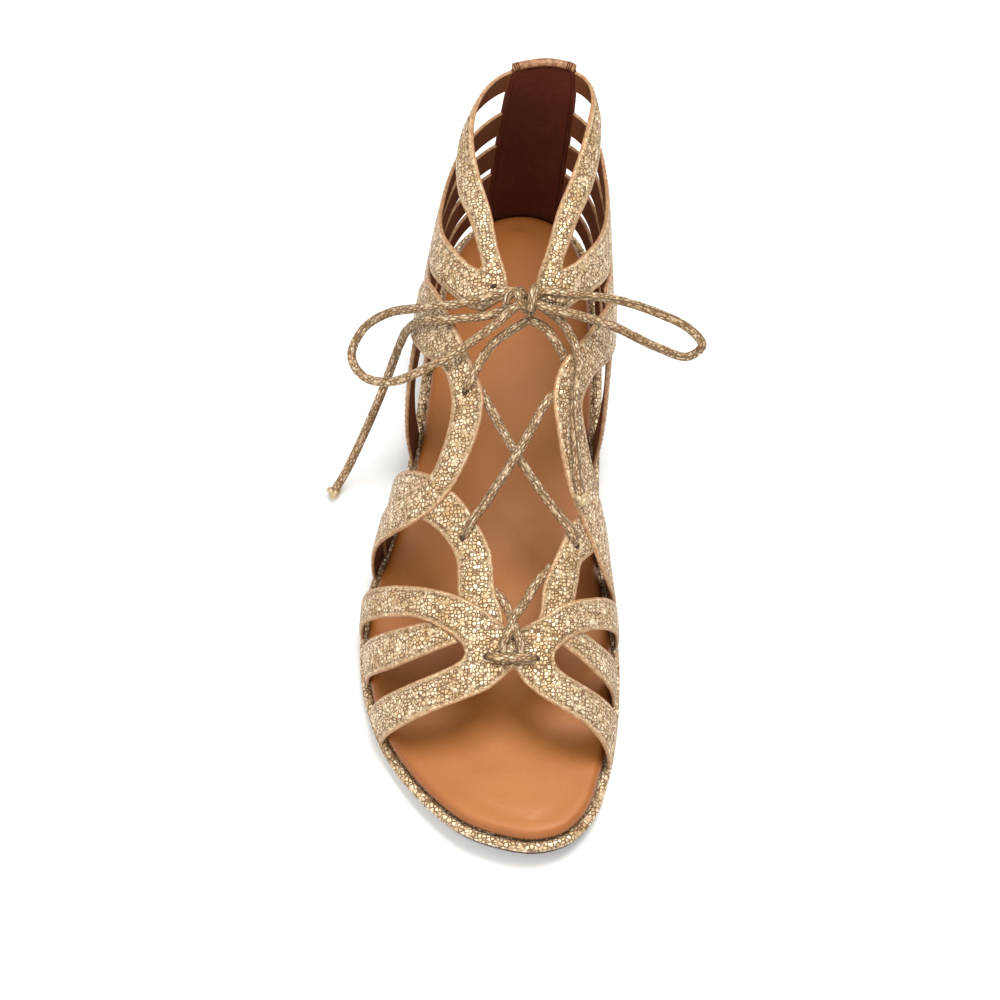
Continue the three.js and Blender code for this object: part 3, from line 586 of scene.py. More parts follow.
def leather_body(sheet, inner, outer):
    """A strap's closed body from its sheet.

    The outer face stands "outer" off the last and sinks by EDGE_DROP * exp(-distance / EDGE_REACH) toward
    the edge; the inner face stands "inner" off it; half circles join the two round the rim. Returns points,
    quads, a slot for each quad (0 outer, 1 rim, 2 inner) and each point's distance from the edge.
    """
    base, normals, quads = sheet.welded()
    count = len(base)
    start = quads.ravel()
    end = np.roll(quads, -1, axis=1).ravel()
    rim = ~np.isin(start * count + end, end * count + start)
    start, end = start[rim], end[rim]
    out = np.zeros((count, 3))
    edge_out = np.cross(unit(base[end] - base[start]), normals[start])
    np.add.at(out, start, edge_out)
    np.add.at(out, end, edge_out)
    rim_points = np.unique(start)
    radius = (outer - EDGE_DROP - inner) / 2
    out[rim_points] = unit(out[rim_points])
    base = base.copy()
    base[rim_points] -= out[rim_points] * radius * RIM_DRAW
    edge = np.concatenate([
        np.linalg.norm(base[i:i + 2000, None] - base[None, rim_points], axis=2).min(1)
        for i in range(0, count, 2000)])
    top = base + normals * (outer - EDGE_DROP * np.exp(-edge / EDGE_REACH))[:, None]
    bottom = base + normals * inner
    angle = pi / 2 - pi * np.arange(1, RIM_STEPS) / RIM_STEPS
    middle = base[rim_points] + normals[rim_points] * (inner + radius)
    loops = (middle[None] + normals[rim_points][None] * (radius * np.sin(angle))[:, None, None]
             + out[rim_points][None] * (radius * np.cos(angle))[:, None, None])
    number = np.full(count, -1)
    number[rim_points] = np.arange(len(rim_points))
    on_loops = 2 * count + np.arange(loops.shape[0] * len(rim_points)).reshape(-1, len(rim_points))
    ladder = np.vstack([rim_points, on_loops, rim_points + count])
    rim_quads = [np.stack([ladder[k, number[end]], ladder[k, number[start]], ladder[k + 1, number[start]],
                           ladder[k + 1, number[end]]], axis=1) for k in range(RIM_STEPS)]
    faces = np.vstack([quads, quads[:, ::-1] + count] + rim_quads)
    slots = np.repeat([0, 2, 1], [len(quads), len(quads), len(start) * RIM_STEPS])
    points = np.vstack([top, bottom, loops.reshape(-1, 3)])
    return points, faces, slots, np.concatenate([edge, edge, np.zeros(loops.shape[0] * len(rim_points))])


def strap_piece(name, sheet, inner, outer, finishes):
    points, faces, slots, edge = leather_body(sheet, inner, outer)
    piece = new_piece(name, points, distinct(faces), finishes, slots)
    point_attribute(piece, "edge", edge)
    return piece


GROOVE = 0.35                  # half width of a cord's seam, radians round it
TIP = 0.35                     # how far a cord's closed end stands out, as a share of its radius


def tube(path, radius, sides=16, twist=0.0, seam=0.0):
    """A round cord along a path, closed at both ends.

    Rings of radius r stand square to the path; r shrinks by "seam" in a narrow groove that turns by
    "twist" a millimetre; each end closes on one point. Returns points, faces and UVs in metres.
    """
    path = np.asarray(path, float)
    ahead = unit(np.gradient(path, axis=0))
    up = np.array([0.05, 0.02, 1.0])
    across = unit(np.cross(ahead, up))
    over = np.cross(across, ahead)
    run = np.concatenate([[0], np.cumsum(np.linalg.norm(np.diff(path, axis=0), axis=1))])
    angle = np.arange(sides) / sides * 2 * pi
    turned = angle[None, :] + twist * run[:, None]
    groove = 1 - seam * np.exp(-(((angle - pi / 2 + pi) % (2 * pi) - pi) / GROOVE) ** 2)
    r = radius * groove[None, :, None]
    cosine, sine = np.cos(turned)[..., None], np.sin(turned)[..., None]
    rings = path[:, None] + r * (cosine * across[:, None] + sine * over[:, None])
    count = len(path)
    tip = radius * TIP
    points = np.vstack([rings.reshape(-1, 3), path[0] - ahead[0] * tip, path[-1] + ahead[-1] * tip])
    quads = grid_quads(count, sides, closed_columns=True)
    ring = np.arange(sides)
    beside = (ring + 1) % sides
    first = np.stack([ring, beside, np.full(sides, count * sides)], axis=1)
    base = (count - 1) * sides
    last = np.stack([beside + base, ring + base, np.full(sides, count * sides + 1)], axis=1)
    uv = np.stack(np.broadcast_arrays(run[:, None] * MM, (angle * radius * MM)[None, :]), axis=-1)
    uv = uv.reshape(-1, 2)
    faces = quads.tolist() + first.tolist() + last.tolist()
    return points, faces, np.vstack([uv, [[0, 0]], [[run[-1] * MM, 0]]])


def join_parts(parts):
    """Points, faces and UVs of several bodies in one list."""
    points, faces, uvs, count = [], [], [], 0
    for part_points, part_faces, part_uv in parts:
        points.append(part_points)
        uvs.append(part_uv)
        faces += [[i + count for i in face] for face in part_faces]
        count += len(part_points)
    return np.vstack(points), faces, np.vstack(uvs)


# ---------- shader groups ----------
def group_tree(name, inputs, outputs):
    """A new shader node group with its sockets, and its two end nodes."""
    tree = bpy.data.node_groups.new(name, "ShaderNodeTree")
    for socket, kind, value in inputs:
        item = tree.interface.new_socket(name=socket, in_out="INPUT", socket_type=kind)
        item.default_value = value
    for socket, kind in outputs:
        tree.interface.new_socket(name=socket, in_out="OUTPUT", socket_type=kind)
    return tree, tree.nodes.new("NodeGroupInput"), tree.nodes.new("NodeGroupOutput")


class Nodes:
    """Short ways to add and join shader nodes in a tree."""

    def __init__(self, tree):
        self.tree = tree

    def add(self, kind, settings=None, **values):
        node = self.tree.nodes.new(kind)
        for key, value in (settings or {}).items():
            setattr(node, key, value)
        for key, value in values.items():
            self.put(node.inputs[key.replace("_", " ")], value)
        return node

    def put(self, socket, value):
        if isinstance(value, bpy.types.NodeSocket):
            self.tree.links.new(value, socket)
        else:
            socket.default_value = value

    def math(self, operation, a, b=0.0, clamp=False):
        node = self.tree.nodes.new("ShaderNodeMath")
        node.operation, node.use_clamp = operation, clamp
        self.put(node.inputs[0], a)
        self.put(node.inputs[1], b)
        return node.outputs[0]

    def ramp(self, value, low, high):
        """0 below low, 1 above high, smooth between."""
        node = self.tree.nodes.new("ShaderNodeMapRange")
        node.interpolation_type = "SMOOTHSTEP"
        self.put(node.inputs["Value"], value)
        self.put(node.inputs["From Min"], low)
        self.put(node.inputs["From Max"], high)
        return node.outputs["Result"]

    def mix(self, share, a, b):
        node = self.tree.nodes.new("ShaderNodeMix")
        node.data_type, node.blend_type = "RGBA", "MIX"
        self.put(node.inputs["Factor"], share)
        self.put(node.inputs["A"], a)
        self.put(node.inputs["B"], b)
        return node.outputs["Result"]

    def noise(self, vector, scale, detail=3.0, roughness=0.55):
        return self.add("ShaderNodeTexNoise", Vector=vector, Scale=scale, Detail=detail, Roughness=roughness)

    def group(self, tree, **values):
        node = self.tree.nodes.new("ShaderNodeGroup")
        node.node_tree = tree
        for key, value in values.items():
            self.put(node.inputs[key.replace("_", " ")], value)
        return node


def rgba(colour):
    return (*colour, 1.0)


ROSY_FOIL = (0.80, 0.47, 0.30, 1)
OLIVE_FOIL = (0.36, 0.30, 0.13, 1)
SCALE_LOOSENESS = 0.7          # how far the scales leave a regular grid


def snake_scales_group():
    """Embossed scales: domes with dark cracks between them, each scale in a foil tint of its own; the palest
    scales are partly the foil's own tint and partly painted glints.
    """
    tree, into, out = group_tree(
        "snake_scales",
        [("Vector", "NodeSocketVector", (0, 0, 0)), ("Scale Size", "NodeSocketFloat", 0.0017),
         ("Gold", "NodeSocketColor", (0.6, 0.44, 0.24, 1)),
         ("Pale", "NodeSocketColor", (0.86, 0.74, 0.55, 1)),
         ("Crack", "NodeSocketColor", (0.1, 0.055, 0.02, 1)), ("Crack Width", "NodeSocketFloat", 0.2)],
        [("Color", "NodeSocketColor"), ("Height", "NodeSocketFloat"), ("Foil", "NodeSocketFloat")])
    n = Nodes(tree)
    vector = into.outputs["Vector"]
    density = n.math("DIVIDE", 1.0, into.outputs["Scale Size"])
    warp = n.noise(vector, n.math("MULTIPLY", density, 0.45), 2.0)
    pull = n.add("ShaderNodeVectorMath", {"operation": "MULTIPLY_ADD"})
    n.put(pull.inputs[0], warp.outputs["Color"])
    size = into.outputs["Scale Size"]
    n.put(pull.inputs[1], n.math("MULTIPLY", size, 0.5))
    n.put(pull.inputs[2], vector)
    voronoi, cracks = (
        n.add("ShaderNodeTexVoronoi", {"feature": feature}, Vector=pull.outputs[0], Scale=density,
              Randomness=SCALE_LOOSENESS)
        for feature in ("F1", "DISTANCE_TO_EDGE")
    )
    patches = n.noise(vector, 55.0, 2.0)
    fine = n.noise(vector, n.math("MULTIPLY", density, 3.0), 2.0)
    tint = n.add("ShaderNodeSeparateColor")
    n.put(tint.inputs[0], voronoi.outputs["Color"])
    open_share = n.ramp(cracks.outputs["Distance"], 0.01, into.outputs["Crack Width"])
    dome = n.math("SUBTRACT", 1.0, n.math("POWER", voronoi.outputs["Distance"], 2.0))
    height = n.math("ADD", n.math("MULTIPLY", dome, 0.45), n.math("MULTIPLY", open_share, 0.75))
    height = n.math("ADD", height, n.math("MULTIPLY", fine.outputs["Fac"], 0.22))
    n.put(out.inputs["Height"], height)
    # pale foil on random scales: partly the foil's own paler tint, partly painted glints for scales that
    # catch the light
    pale_glint_share = n.math("POWER", tint.outputs[0], 1.6)
    foil_share = n.math("ADD", n.math("MULTIPLY", pale_glint_share, 0.85),
                        n.math("MULTIPLY", n.ramp(patches.outputs["Fac"], 0.35, 0.7), 0.3), True)
    foil = n.mix(foil_share, into.outputs["Gold"], into.outputs["Pale"])
    rosy = n.mix(n.math("MULTIPLY", n.ramp(tint.outputs[1], 0.72, 0.95), 0.35), foil, ROSY_FOIL)
    olive = n.mix(n.math("MULTIPLY", n.ramp(tint.outputs[2], 0.75, 0.98), 0.4), rosy, OLIVE_FOIL)
    uneven = n.noise(vector, n.math("MULTIPLY", density, 0.6), 1.0).outputs["Fac"]
    depth = n.math("MULTIPLY", n.math("SUBTRACT", 1.0, open_share), n.ramp(uneven, 0.25, 0.52))
    n.put(out.inputs["Color"], n.mix(depth, olive, into.outputs["Crack"]))
    shine = n.math("ADD", 0.55, n.math("MULTIPLY", foil_share, 0.45))
    n.put(out.inputs["Foil"], n.math("MULTIPLY", open_share, shine))
    return tree


def leather_grain_group():
    """Fine pores and folds of smooth leather, with slow changes of tone."""
    tree, into, out = group_tree(
        "leather_grain",
        [("Vector", "NodeSocketVector", (0, 0, 0)), ("Pore Scale", "NodeSocketFloat", 1400.0)],
        [("Height", "NodeSocketFloat"), ("Tone", "NodeSocketFloat"), ("Speckle", "NodeSocketFloat")])
    n = Nodes(tree)
    vector, scale = into.outputs["Vector"], into.outputs["Pore Scale"]
    pores = n.add("ShaderNodeTexVoronoi", {"feature": "DISTANCE_TO_EDGE"}, Vector=vector, Scale=scale)
    folds = n.noise(vector, n.math("MULTIPLY", scale, 0.35), 4.0)
    pits = n.math("MULTIPLY", n.ramp(pores.outputs["Distance"], 0.0, 0.2), 0.4)
    n.put(out.inputs["Height"], n.math("ADD", pits, n.math("MULTIPLY", folds.outputs["Fac"], 0.8)))
    n.put(out.inputs["Tone"], n.noise(vector, 22.0, 3.0).outputs["Fac"])
    n.put(out.inputs["Speckle"], n.noise(vector, 900.0, 2.0, 0.7).outputs["Fac"])
    return tree


def edge_channel_and_highlight_group():
    """Masks from a strap's own distance-from-edge attribute: a stitch channel, and a band along the rim where
    a painted highlight is laid.
    """
    tree, into, out = group_tree(
        "edge_channel_and_highlight",
        [("Inset", "NodeSocketFloat", 0.00125), ("Width", "NodeSocketFloat", 0.00042)],
        [("Channel", "NodeSocketFloat"), ("Rim", "NodeSocketFloat")])
    n = Nodes(tree)
    edge = n.add("ShaderNodeAttribute", {"attribute_name": "edge"}).outputs["Fac"]
    edge = n.math("MULTIPLY", edge, MM)
    away = n.math("ABSOLUTE", n.math("SUBTRACT", edge, into.outputs["Inset"]))
    core = n.math("MULTIPLY", into.outputs["Width"], 0.4)
    n.put(out.inputs["Channel"], n.math("SUBTRACT", 1.0, n.ramp(away, core, into.outputs["Width"])))
    # Rim: the band within 0.9 mm of the edge, where the painted highlight goes
    n.put(out.inputs["Rim"], n.math("SUBTRACT", 1.0, n.ramp(edge, 0.0002, 0.0009)))
    return tree


SHARED = {}


def shared_group(name, make):
    if name not in SHARED:
        SHARED[name] = make()
    return SHARED[name]


def new_material(name, **settings):
    """A material with its Principled shader, and a helper for its nodes."""
    material = bpy.data.materials.new(name)
    material.use_nodes = True
    shader = material.node_tree.nodes["Principled BSDF"]
    for key, value in settings.items():
        shader.inputs[key.replace("_", " ")].default_value = value
    return material, shader, Nodes(material.node_tree)


def bump(n, height, distance, strength):
    return n.add("ShaderNodeBump", Height=height, Distance=distance, Strength=strength).outputs["Normal"]


LACE_SLANT = 0.6               # turn of the scales along a lace, radians
LACE_STRETCH = (0.65, 1.25, 1)
# pale tan of the painted highlight along the straps' edges
PAINTED_EDGE_HIGHLIGHT = (0.52, 0.34, 0.18, 1)
INSOLE_LIGHT = (0.375, 0.13, 0.0245, 1)
INSOLE_SPECKLE = (0.23, 0.075, 0.018, 1)
# dark brown of the painted shade on the insole's rounded edge
INSOLE_EDGE_SHADE = (0.21, 0.058, 0.011, 1)
RUBBER_SCUFF = (0.11, 0.065, 0.04, 1)
THREAD_LIGHT = (0.42, 0.28, 0.14, 1)
# near-black tones of the painted shade in a punched hole
HOLE_SHADE_TONES = ((0.02, 0.009, 0.004, 1), (0.06, 0.026, 0.012, 1))


def gold_material(name, colours, scale_size, with_edge, darker=0.0, from_uv=False, crack_width=0.2):
    """Embossed gold foil leather; on straps a stitch channel and a painted highlight along the rim follow the
    edge.
    """
    material, shader, n = new_material(name, Coat_Roughness=0.3)
    shader.inputs["Coat Weight"].default_value = 0.03
    shader.inputs["Specular IOR Level"].default_value = 0.3
    coordinates = n.add("ShaderNodeTexCoord").outputs["UV" if from_uv else "Object"]
    if from_uv:
        slant = n.add("ShaderNodeMapping", Vector=coordinates, Rotation=(0, 0, LACE_SLANT),
                      Scale=LACE_STRETCH)
        coordinates = slant.outputs["Vector"]
    scales = n.group(shared_group("scales", snake_scales_group), Vector=coordinates, Scale_Size=scale_size,
                     Gold=rgba(colours.gold), Pale=rgba(colours.pale), Crack=rgba(colours.crack),
                     Crack_Width=crack_width)
    colour, height = scales.outputs["Color"], scales.outputs["Height"]
    if with_edge:
        edge_masks = n.group(shared_group("edge_masks", edge_channel_and_highlight_group))
        channel, rim = edge_masks.outputs["Channel"], edge_masks.outputs["Rim"]
        colour = n.mix(n.math("MULTIPLY", channel, 0.34), colour, rgba(colours.crack))
        # painted highlight: the strap's face turns toward a pale tan within 0.9 mm of its edge, where light
        # catches the rounded edge
        colour = n.mix(n.math("MULTIPLY", rim, 0.4), colour, PAINTED_EDGE_HIGHLIGHT)
        flatter = n.math("SUBTRACT", 1.0, n.math("MULTIPLY", rim, 0.8))
        height = n.math("SUBTRACT", n.math("MULTIPLY", height, flatter), n.math("MULTIPLY", channel, 0.55))
    if darker:
        colour = n.mix(darker, colour, rgba(colours.crack))
    n.put(shader.inputs["Base Color"], colour)
    foil = scales.outputs["Foil"]
    n.put(shader.inputs["Metallic"], n.math("MULTIPLY", foil, 0.62))
    n.put(shader.inputs["Roughness"], n.math("SUBTRACT", 0.62, n.math("MULTIPLY", foil, 0.27)))
    n.put(shader.inputs["Normal"], bump(n, height, 0.00042, 0.9))
    return material


def edge_material(name, dark, light):
    """Painted cut edges and bindings: leather streaked from a dark tone to a light one."""
    material, shader, n = new_material(name, Roughness=0.55)
    vector = n.add("ShaderNodeTexCoord").outputs["Object"]
    streaks = n.noise(vector, 700.0, 3.0)
    tone = n.ramp(streaks.outputs["Fac"], 0.35, 0.7)
    n.put(shader.inputs["Base Color"], n.mix(tone, rgba(dark), rgba(light)))
    n.put(shader.inputs["Normal"], bump(n, streaks.outputs["Fac"], 0.00015, 0.6))
    return material


def suede_material(name, colour, lighter):
    """Suede: a soft nap with patches brushed lighter and darker."""
    material, shader, n = new_material(name, Roughness=0.95, Sheen_Weight=0.03, Sheen_Roughness=0.5)
    shader.inputs["Specular IOR Level"].default_value = 0.2
    shader.inputs["Sheen Tint"].default_value = rgba(lighter)
    vector = n.add("ShaderNodeTexCoord").outputs["Object"]
    nap = n.noise(vector, 1500.0, 4.0, 0.7)
    patches = n.noise(vector, 60.0, 3.0)
    share = n.math("ADD", n.math("MULTIPLY", n.ramp(nap.outputs["Fac"], 0.3, 0.75), 0.55),
                   n.math("MULTIPLY", n.ramp(patches.outputs["Fac"], 0.35, 0.7), 0.35))
    n.put(shader.inputs["Base Color"], n.mix(share, rgba(colour), rgba(lighter)))
    n.put(shader.inputs["Normal"], bump(n, nap.outputs["Fac"], 0.0003, 0.7))
    return material


def insole_material(colours):
    """Smooth cognac leather with fine grain, with painted shade darkening its rounded edge."""
    material, shader, n = new_material("insole_leather", Coat_Roughness=0.35)
    shader.inputs["Coat Weight"].default_value = 0.06
    shader.inputs["Specular IOR Level"].default_value = 0.35
    vector = n.add("ShaderNodeTexCoord").outputs["Object"]
    grain = n.group(shared_group("grain", leather_grain_group), Vector=vector, Pore_Scale=1500.0)
    edge = n.add("ShaderNodeAttribute", {"attribute_name": "edge"}).outputs["Fac"]
    colour = n.mix(n.ramp(grain.outputs["Tone"], 0.3, 0.75), rgba(colours.insole), INSOLE_LIGHT)
    speckle = n.math("MULTIPLY", n.ramp(grain.outputs["Speckle"], 0.5, 0.8), 0.22)
    colour = n.mix(speckle, colour, INSOLE_SPECKLE)
    # painted shade: the pad's rounded side, within 2.6 mm of its edge, is darkened toward dark brown
    edge_shade = n.math("SUBTRACT", 1.0, n.ramp(edge, 0.0, 2.6))
    colour = n.mix(n.math("MULTIPLY", edge_shade, 0.6), colour, INSOLE_EDGE_SHADE)
    n.put(shader.inputs["Base Color"], colour)
    n.put(shader.inputs["Roughness"], n.math("ADD", 0.40, n.math("MULTIPLY", grain.outputs["Speckle"], 0.16)))
    n.put(shader.inputs["Normal"], bump(n, grain.outputs["Height"], 0.00010, 0.6))
    return material


def rubber_material(colours):
    material, shader, n = new_material("rubber")
    vector = n.add("ShaderNodeTexCoord").outputs["Object"]
    grit = n.noise(vector, 1100.0, 4.0, 0.65)
    scuffs = n.noise(vector, 90.0, 5.0)
    scuffed = n.math("MULTIPLY", n.ramp(scuffs.outputs["Fac"], 0.5, 0.8), 0.5)
    n.put(shader.inputs["Base Color"], n.mix(scuffed, rgba(colours.rubber), RUBBER_SCUFF))
    n.put(shader.inputs["Roughness"], n.math("ADD", 0.55, n.math("MULTIPLY", grit.outputs["Fac"], 0.25)))
    n.put(shader.inputs["Normal"], bump(n, grit.outputs["Fac"], 0.0003, 0.6))
    return material


def thread_material(colours):
    material, shader, n = new_material("thread", Roughness=0.6, Sheen_Weight=0.3)
    vector = n.add("ShaderNodeTexCoord").outputs["Object"]
    twist = n.noise(vector, 2500.0, 2.0)
    n.put(shader.inputs["Base Color"], n.mix(twist.outputs["Fac"], rgba(colours.thread), THREAD_LIGHT))
    n.put(shader.inputs["Normal"], bump(n, twist.outputs["Fac"], 0.0001, 0.6))
    return material


def hole_shade_material():
    """Painted shade: near-black brown standing for the dark inside of a punched hole."""
    material, shader, n = new_material("hole", Roughness=0.9)
    vector = n.add("ShaderNodeTexCoord").outputs["Object"]
    n.put(shader.inputs["Base Color"], n.mix(n.noise(vector, 900.0).outputs["Fac"], *HOLE_SHADE_TONES))
    return material


def finish(name):
    """A finish of the sandal by name, made on first use."""
    if name not in SHARED:
        colours = bpy.context.scene.sandal_colours
        leather = bpy.context.scene.sandal_leather
        makers = {
            "strap": lambda: gold_material("strap_gold", colours, leather.scale_size, True),
            "rim": lambda: gold_material("rim_gold", colours, 0.0014, False),
            "lace": lambda: gold_material("lace_gold", colours, 0.0012, False, 0.22, True, 0.36),
            "binding": lambda: edge_material("binding_leather", (0.17, 0.062, 0.02), (0.38, 0.20, 0.09)),
            "edge": lambda: edge_material("cut_edge", colours.edge, (0.42, 0.25, 0.13)),
            "lining": lambda: suede_material("lining_suede", colours.lining, (0.115, 0.021, 0.006)),
            "strap_back": lambda: suede_material("strap_lining", colours.strap_back, (0.19, 0.062, 0.020)),
            "insole": lambda: insole_material(colours),
            "rubber": lambda: rubber_material(colours),
            "thread": lambda: thread_material(colours),
            "hole": hole_shade_material,
        }
        SHARED[name] = makers[name]()
    return SHARED[name]


def strap_finishes():
    return [finish("strap"), finish("edge"), finish("strap_back")]


# ---------- camera ----------
CAMERA_RISE = radians(58)      # how far the camera looks down
CAMERA_ROLL = radians(-7)
CAMERA_AWAY = 842.8            # millimetres from the camera to the point that it was set up on
CAMERA_LENS = 86.4
SHOE_TURN = radians(7.97)      # the shoe's turn on the floor, seen from above
SHOE_AT = (-73.41, 100.68)     # the shoe's own origin from that point
CAMERA_PAN = radians(4.4)      # turn to the shoe, which stands beside the first aim


def make_camera():
    """The camera in the shoe's frame: looks down at the toe, rolled a little, then panned to the shoe."""
    forward = np.array([0, np.cos(CAMERA_RISE), -np.sin(CAMERA_RISE)])
    up = np.array([0, np.sin(CAMERA_RISE), np.cos(CAMERA_RISE)])
    right = np.array([1.0, 0, 0])
    centre = -forward * CAMERA_AWAY - np.array([*SHOE_AT, 0])
    view_right = right * np.cos(CAMERA_ROLL) - up * np.sin(CAMERA_ROLL)
    view_up = right * np.sin(CAMERA_ROLL) + up * np.cos(CAMERA_ROLL)
    turn = np.array([[np.cos(SHOE_TURN), np.sin(SHOE_TURN), 0], [-np.sin(SHOE_TURN), np.cos(SHOE_TURN), 0],
                     [0, 0, 1]])
    pan_right = view_right * np.cos(CAMERA_PAN) + forward * np.sin(CAMERA_PAN)
    pan_forward = forward * np.cos(CAMERA_PAN) - view_right * np.sin(CAMERA_PAN)
    axes = np.stack([turn @ pan_right, turn @ view_up, turn @ -pan_forward], axis=1)
    data = bpy.data.cameras.new("camera")
    data.lens, data.sensor_width, data.sensor_fit = CAMERA_LENS, 36, "HORIZONTAL"
    data.clip_start, data.clip_end = 0.01, 100
    camera = bpy.data.objects.new("camera", data)
    bpy.context.scene.collection.objects.link(camera)
    matrix = Matrix(axes.tolist()).to_4x4()
    matrix.translation = Vector(placed(turn @ centre))
    camera.matrix_world = matrix
    bpy.context.scene.camera = camera


def add_area(name, place, target, size, watts, colour):
    """A soft square light at a place in metres, aimed at a target."""
    data = bpy.data.lights.new(name, "AREA")
    data.shape, data.size, data.energy, data.color = "SQUARE", size, watts, colour
    light = bpy.data.objects.new(name, data)
    light.location = place
    light.rotation_euler = (Vector(target) - Vector(place)).to_track_quat("-Z", "Y").to_euler()
    bpy.context.scene.collection.objects.link(light)


LIGHTS = [
    # name, place, target, size, watts, colour
    ("key", (0.20, 0.14, 1.15), (0, -0.02, 0.03), 0.55, 15.5, (1.0, 0.985, 0.96)),
    ("fill", (-0.9, -0.5, 0.9), (0, 0, 0.03), 1.2, 7, (0.97, 0.99, 1.0)),
    ("front", (-0.1, -0.9, 0.55), (0, -0.05, 0.03), 0.5, 3.5, (1.0, 0.97, 0.92)),
]
FLOOR_HALF = 4                 # metres
FLOOR_PATCHES = (0.88, 0.88, 0.88, 1)
SKY = 0.55                     # strength of the white surroundings


class SANDAL_OT_stage(Operator):
    """Camera, pale floor and soft studio light"""

    bl_idname = "sandal.stage"
    bl_label = "Studio"

    def execute(self, context):
        make_camera()
        colours = context.scene.sandal_colours
        material, shader, n = new_material("studio_floor", Roughness=0.85)
        vector = n.add("ShaderNodeTexCoord").outputs["Object"]
        patches = n.noise(vector, 3.0).outputs["Fac"]
        n.put(shader.inputs["Base Color"], n.mix(patches, rgba(colours.floor), FLOOR_PATCHES))
        mesh = bpy.data.meshes.new("floor")
        corners = [(x * FLOOR_HALF, y * FLOOR_HALF, 0) for x, y in ((-1, -1), (1, -1), (1, 1), (-1, 1))]
        mesh.from_pydata(corners, [], [(0, 1, 2, 3)])
        mesh.materials.append(material)
        floor = bpy.data.objects.new("floor", mesh)
        context.scene.collection.objects.link(floor)
        world = bpy.data.worlds.new("studio")
        world.use_nodes = True
        world.node_tree.nodes["Background"].inputs["Color"].default_value = (1, 1, 1, 1)
        world.node_tree.nodes["Background"].inputs["Strength"].default_value = SKY
        context.scene.world = world
        context.scene.view_settings.view_transform = "Standard"
        for light in LIGHTS:
            add_area(*light)
        return {"FINISHED"}


# ---------- laces ----------
LACE_STEP = 0.8                # spacing of a lace's rings
LACE_TWIST = 0.035             # turn of the lace's seam, radians a millimetre
LACE_SEAM = 0.14               # depth of the seam, as a share of the radius


def lace_line(route):
    dense = centripetal(route, False)
    length = np.linalg.norm(np.diff(dense, axis=0), axis=1).sum()
    return evenly(dense, int(length / LACE_STEP) + 2)


def lace_part(route, radius):
    line, _ = lace_line(route)
    return tube(line, radius, 16, LACE_TWIST, LACE_SEAM)


def lace_piece(name, node, points, faces, uv):
    """A piece of lace in its leather, standing for a CAD node."""
    piece = new_piece(name, points, faces, [finish("lace")])
    point_uv(piece, uv)
    return dress(piece, "lace", node)


KNOT_WRAPS = [
    # shift toward the inner side, drop, half width and half height, turn, lean, share of the lace's radius
    (1.3, 0.2, (3.9, 4.0), 0.3, 0.8, 1.0),
    (-2.0, -0.1, (2.9, 3.2), 1.4, -1.5, 0.95),
    (-5.0, -0.3, (2.5, 2.7), 2.6, -2.2, 0.9),
]


WRAP_TWIST, WRAP_SEAM = 0.1, 0.15
WRAP_POINTS = 40
END_KNOT_POINTS = 56
END_KNOT_SIZE = 0.52
END_KNOT_STRAND = 0.72         # an end knot's strand, as a share of the lace's radius
INTO_KNOT = 0.35               # a loop's or end's first place, as a share of the way out of the knot


def ring_path(centre, radii, axis_turn, lean):
    """A closed wrap round the knot: an ellipse in a plane near square to X, leaned and turned."""
    a = np.linspace(0, 2 * pi, WRAP_POINTS)
    y = radii[0] * np.cos(a + axis_turn)
    z = radii[1] * np.sin(a + axis_turn)
    return np.asarray(centre) + np.stack([lean * np.cos(a), y, z], axis=1)


def trefoil_path(centre, size):
    """An overhand knot: the line (sin t + 2 sin 2t, cos t - 2 cos 2t, -1.3 sin 3t), scaled."""
    t = np.linspace(0, 2 * pi, END_KNOT_POINTS)
    x = np.sin(t) + 2 * np.sin(2 * t)
    y = np.cos(t) - 2 * np.cos(2 * t)
    return np.asarray(centre) + np.stack([x, y, -1.3 * np.sin(3 * t)], axis=1) * size


class SANDAL_OT_bow(Operator):
    """The bow: its knot, two loops, two loose ends and their end knots"""

    bl_idname = "sandal.bow"
    bl_label = "Bow"

    def execute(self, context):
        self.diameter = context.scene.sandal_lace.diameter
        self.radius = self.diameter / MM / 2
        self.centre = np.array(BOW_KNOT)
        knot = self.knot()
        for name, route in BOW_LOOPS.items():
            route = [self.inward(route[0]), *route, self.inward(route[-1])]
            self.cord(f"lace_loop_{name}", f"bow_loop_{name}", route, "object",
                      [knot] if name == "outer" else [])
        for name, places in LACE_ENDS.items():
            route = route_points(places)
            route = np.vstack([self.inward(route[0]), route])
            self.cord(f"lace_tail_{name}", f"lace_end_{name}", route, "knot", [], f"end_knot_{name}")
        return {"FINISHED"}

    def inward(self, place):
        """A place on the way from the knot's centre to the given one."""
        return self.centre + (np.array(place) - self.centre) * INTO_KNOT

    def knot(self):
        wraps = []
        for shift, drop, radii, turn, lean, share in KNOT_WRAPS:
            path = ring_path(self.centre + (shift, 0, drop), radii, turn, lean)
            wraps.append(tube(path, self.radius * share, 16, WRAP_TWIST, WRAP_SEAM))
        return lace_piece("bow_knot_wraps", "bow_knot", *join_parts(wraps))

    def cord(self, name, node, route, far_end, on_it, end_knot=None):
        """A tube along a route, with a knot at its end if one is named."""
        line, length = lace_line(route)
        piece = lace_piece(name, node, *tube(line, self.radius, 16, LACE_TWIST, LACE_SEAM))
        if end_knot:
            points, faces, _ = tube(trefoil_path(route[-1], END_KNOT_SIZE), self.radius * END_KNOT_STRAND)
            on_it = [dress(new_piece(end_knot, points, faces, [finish("lace")]), "lace")]


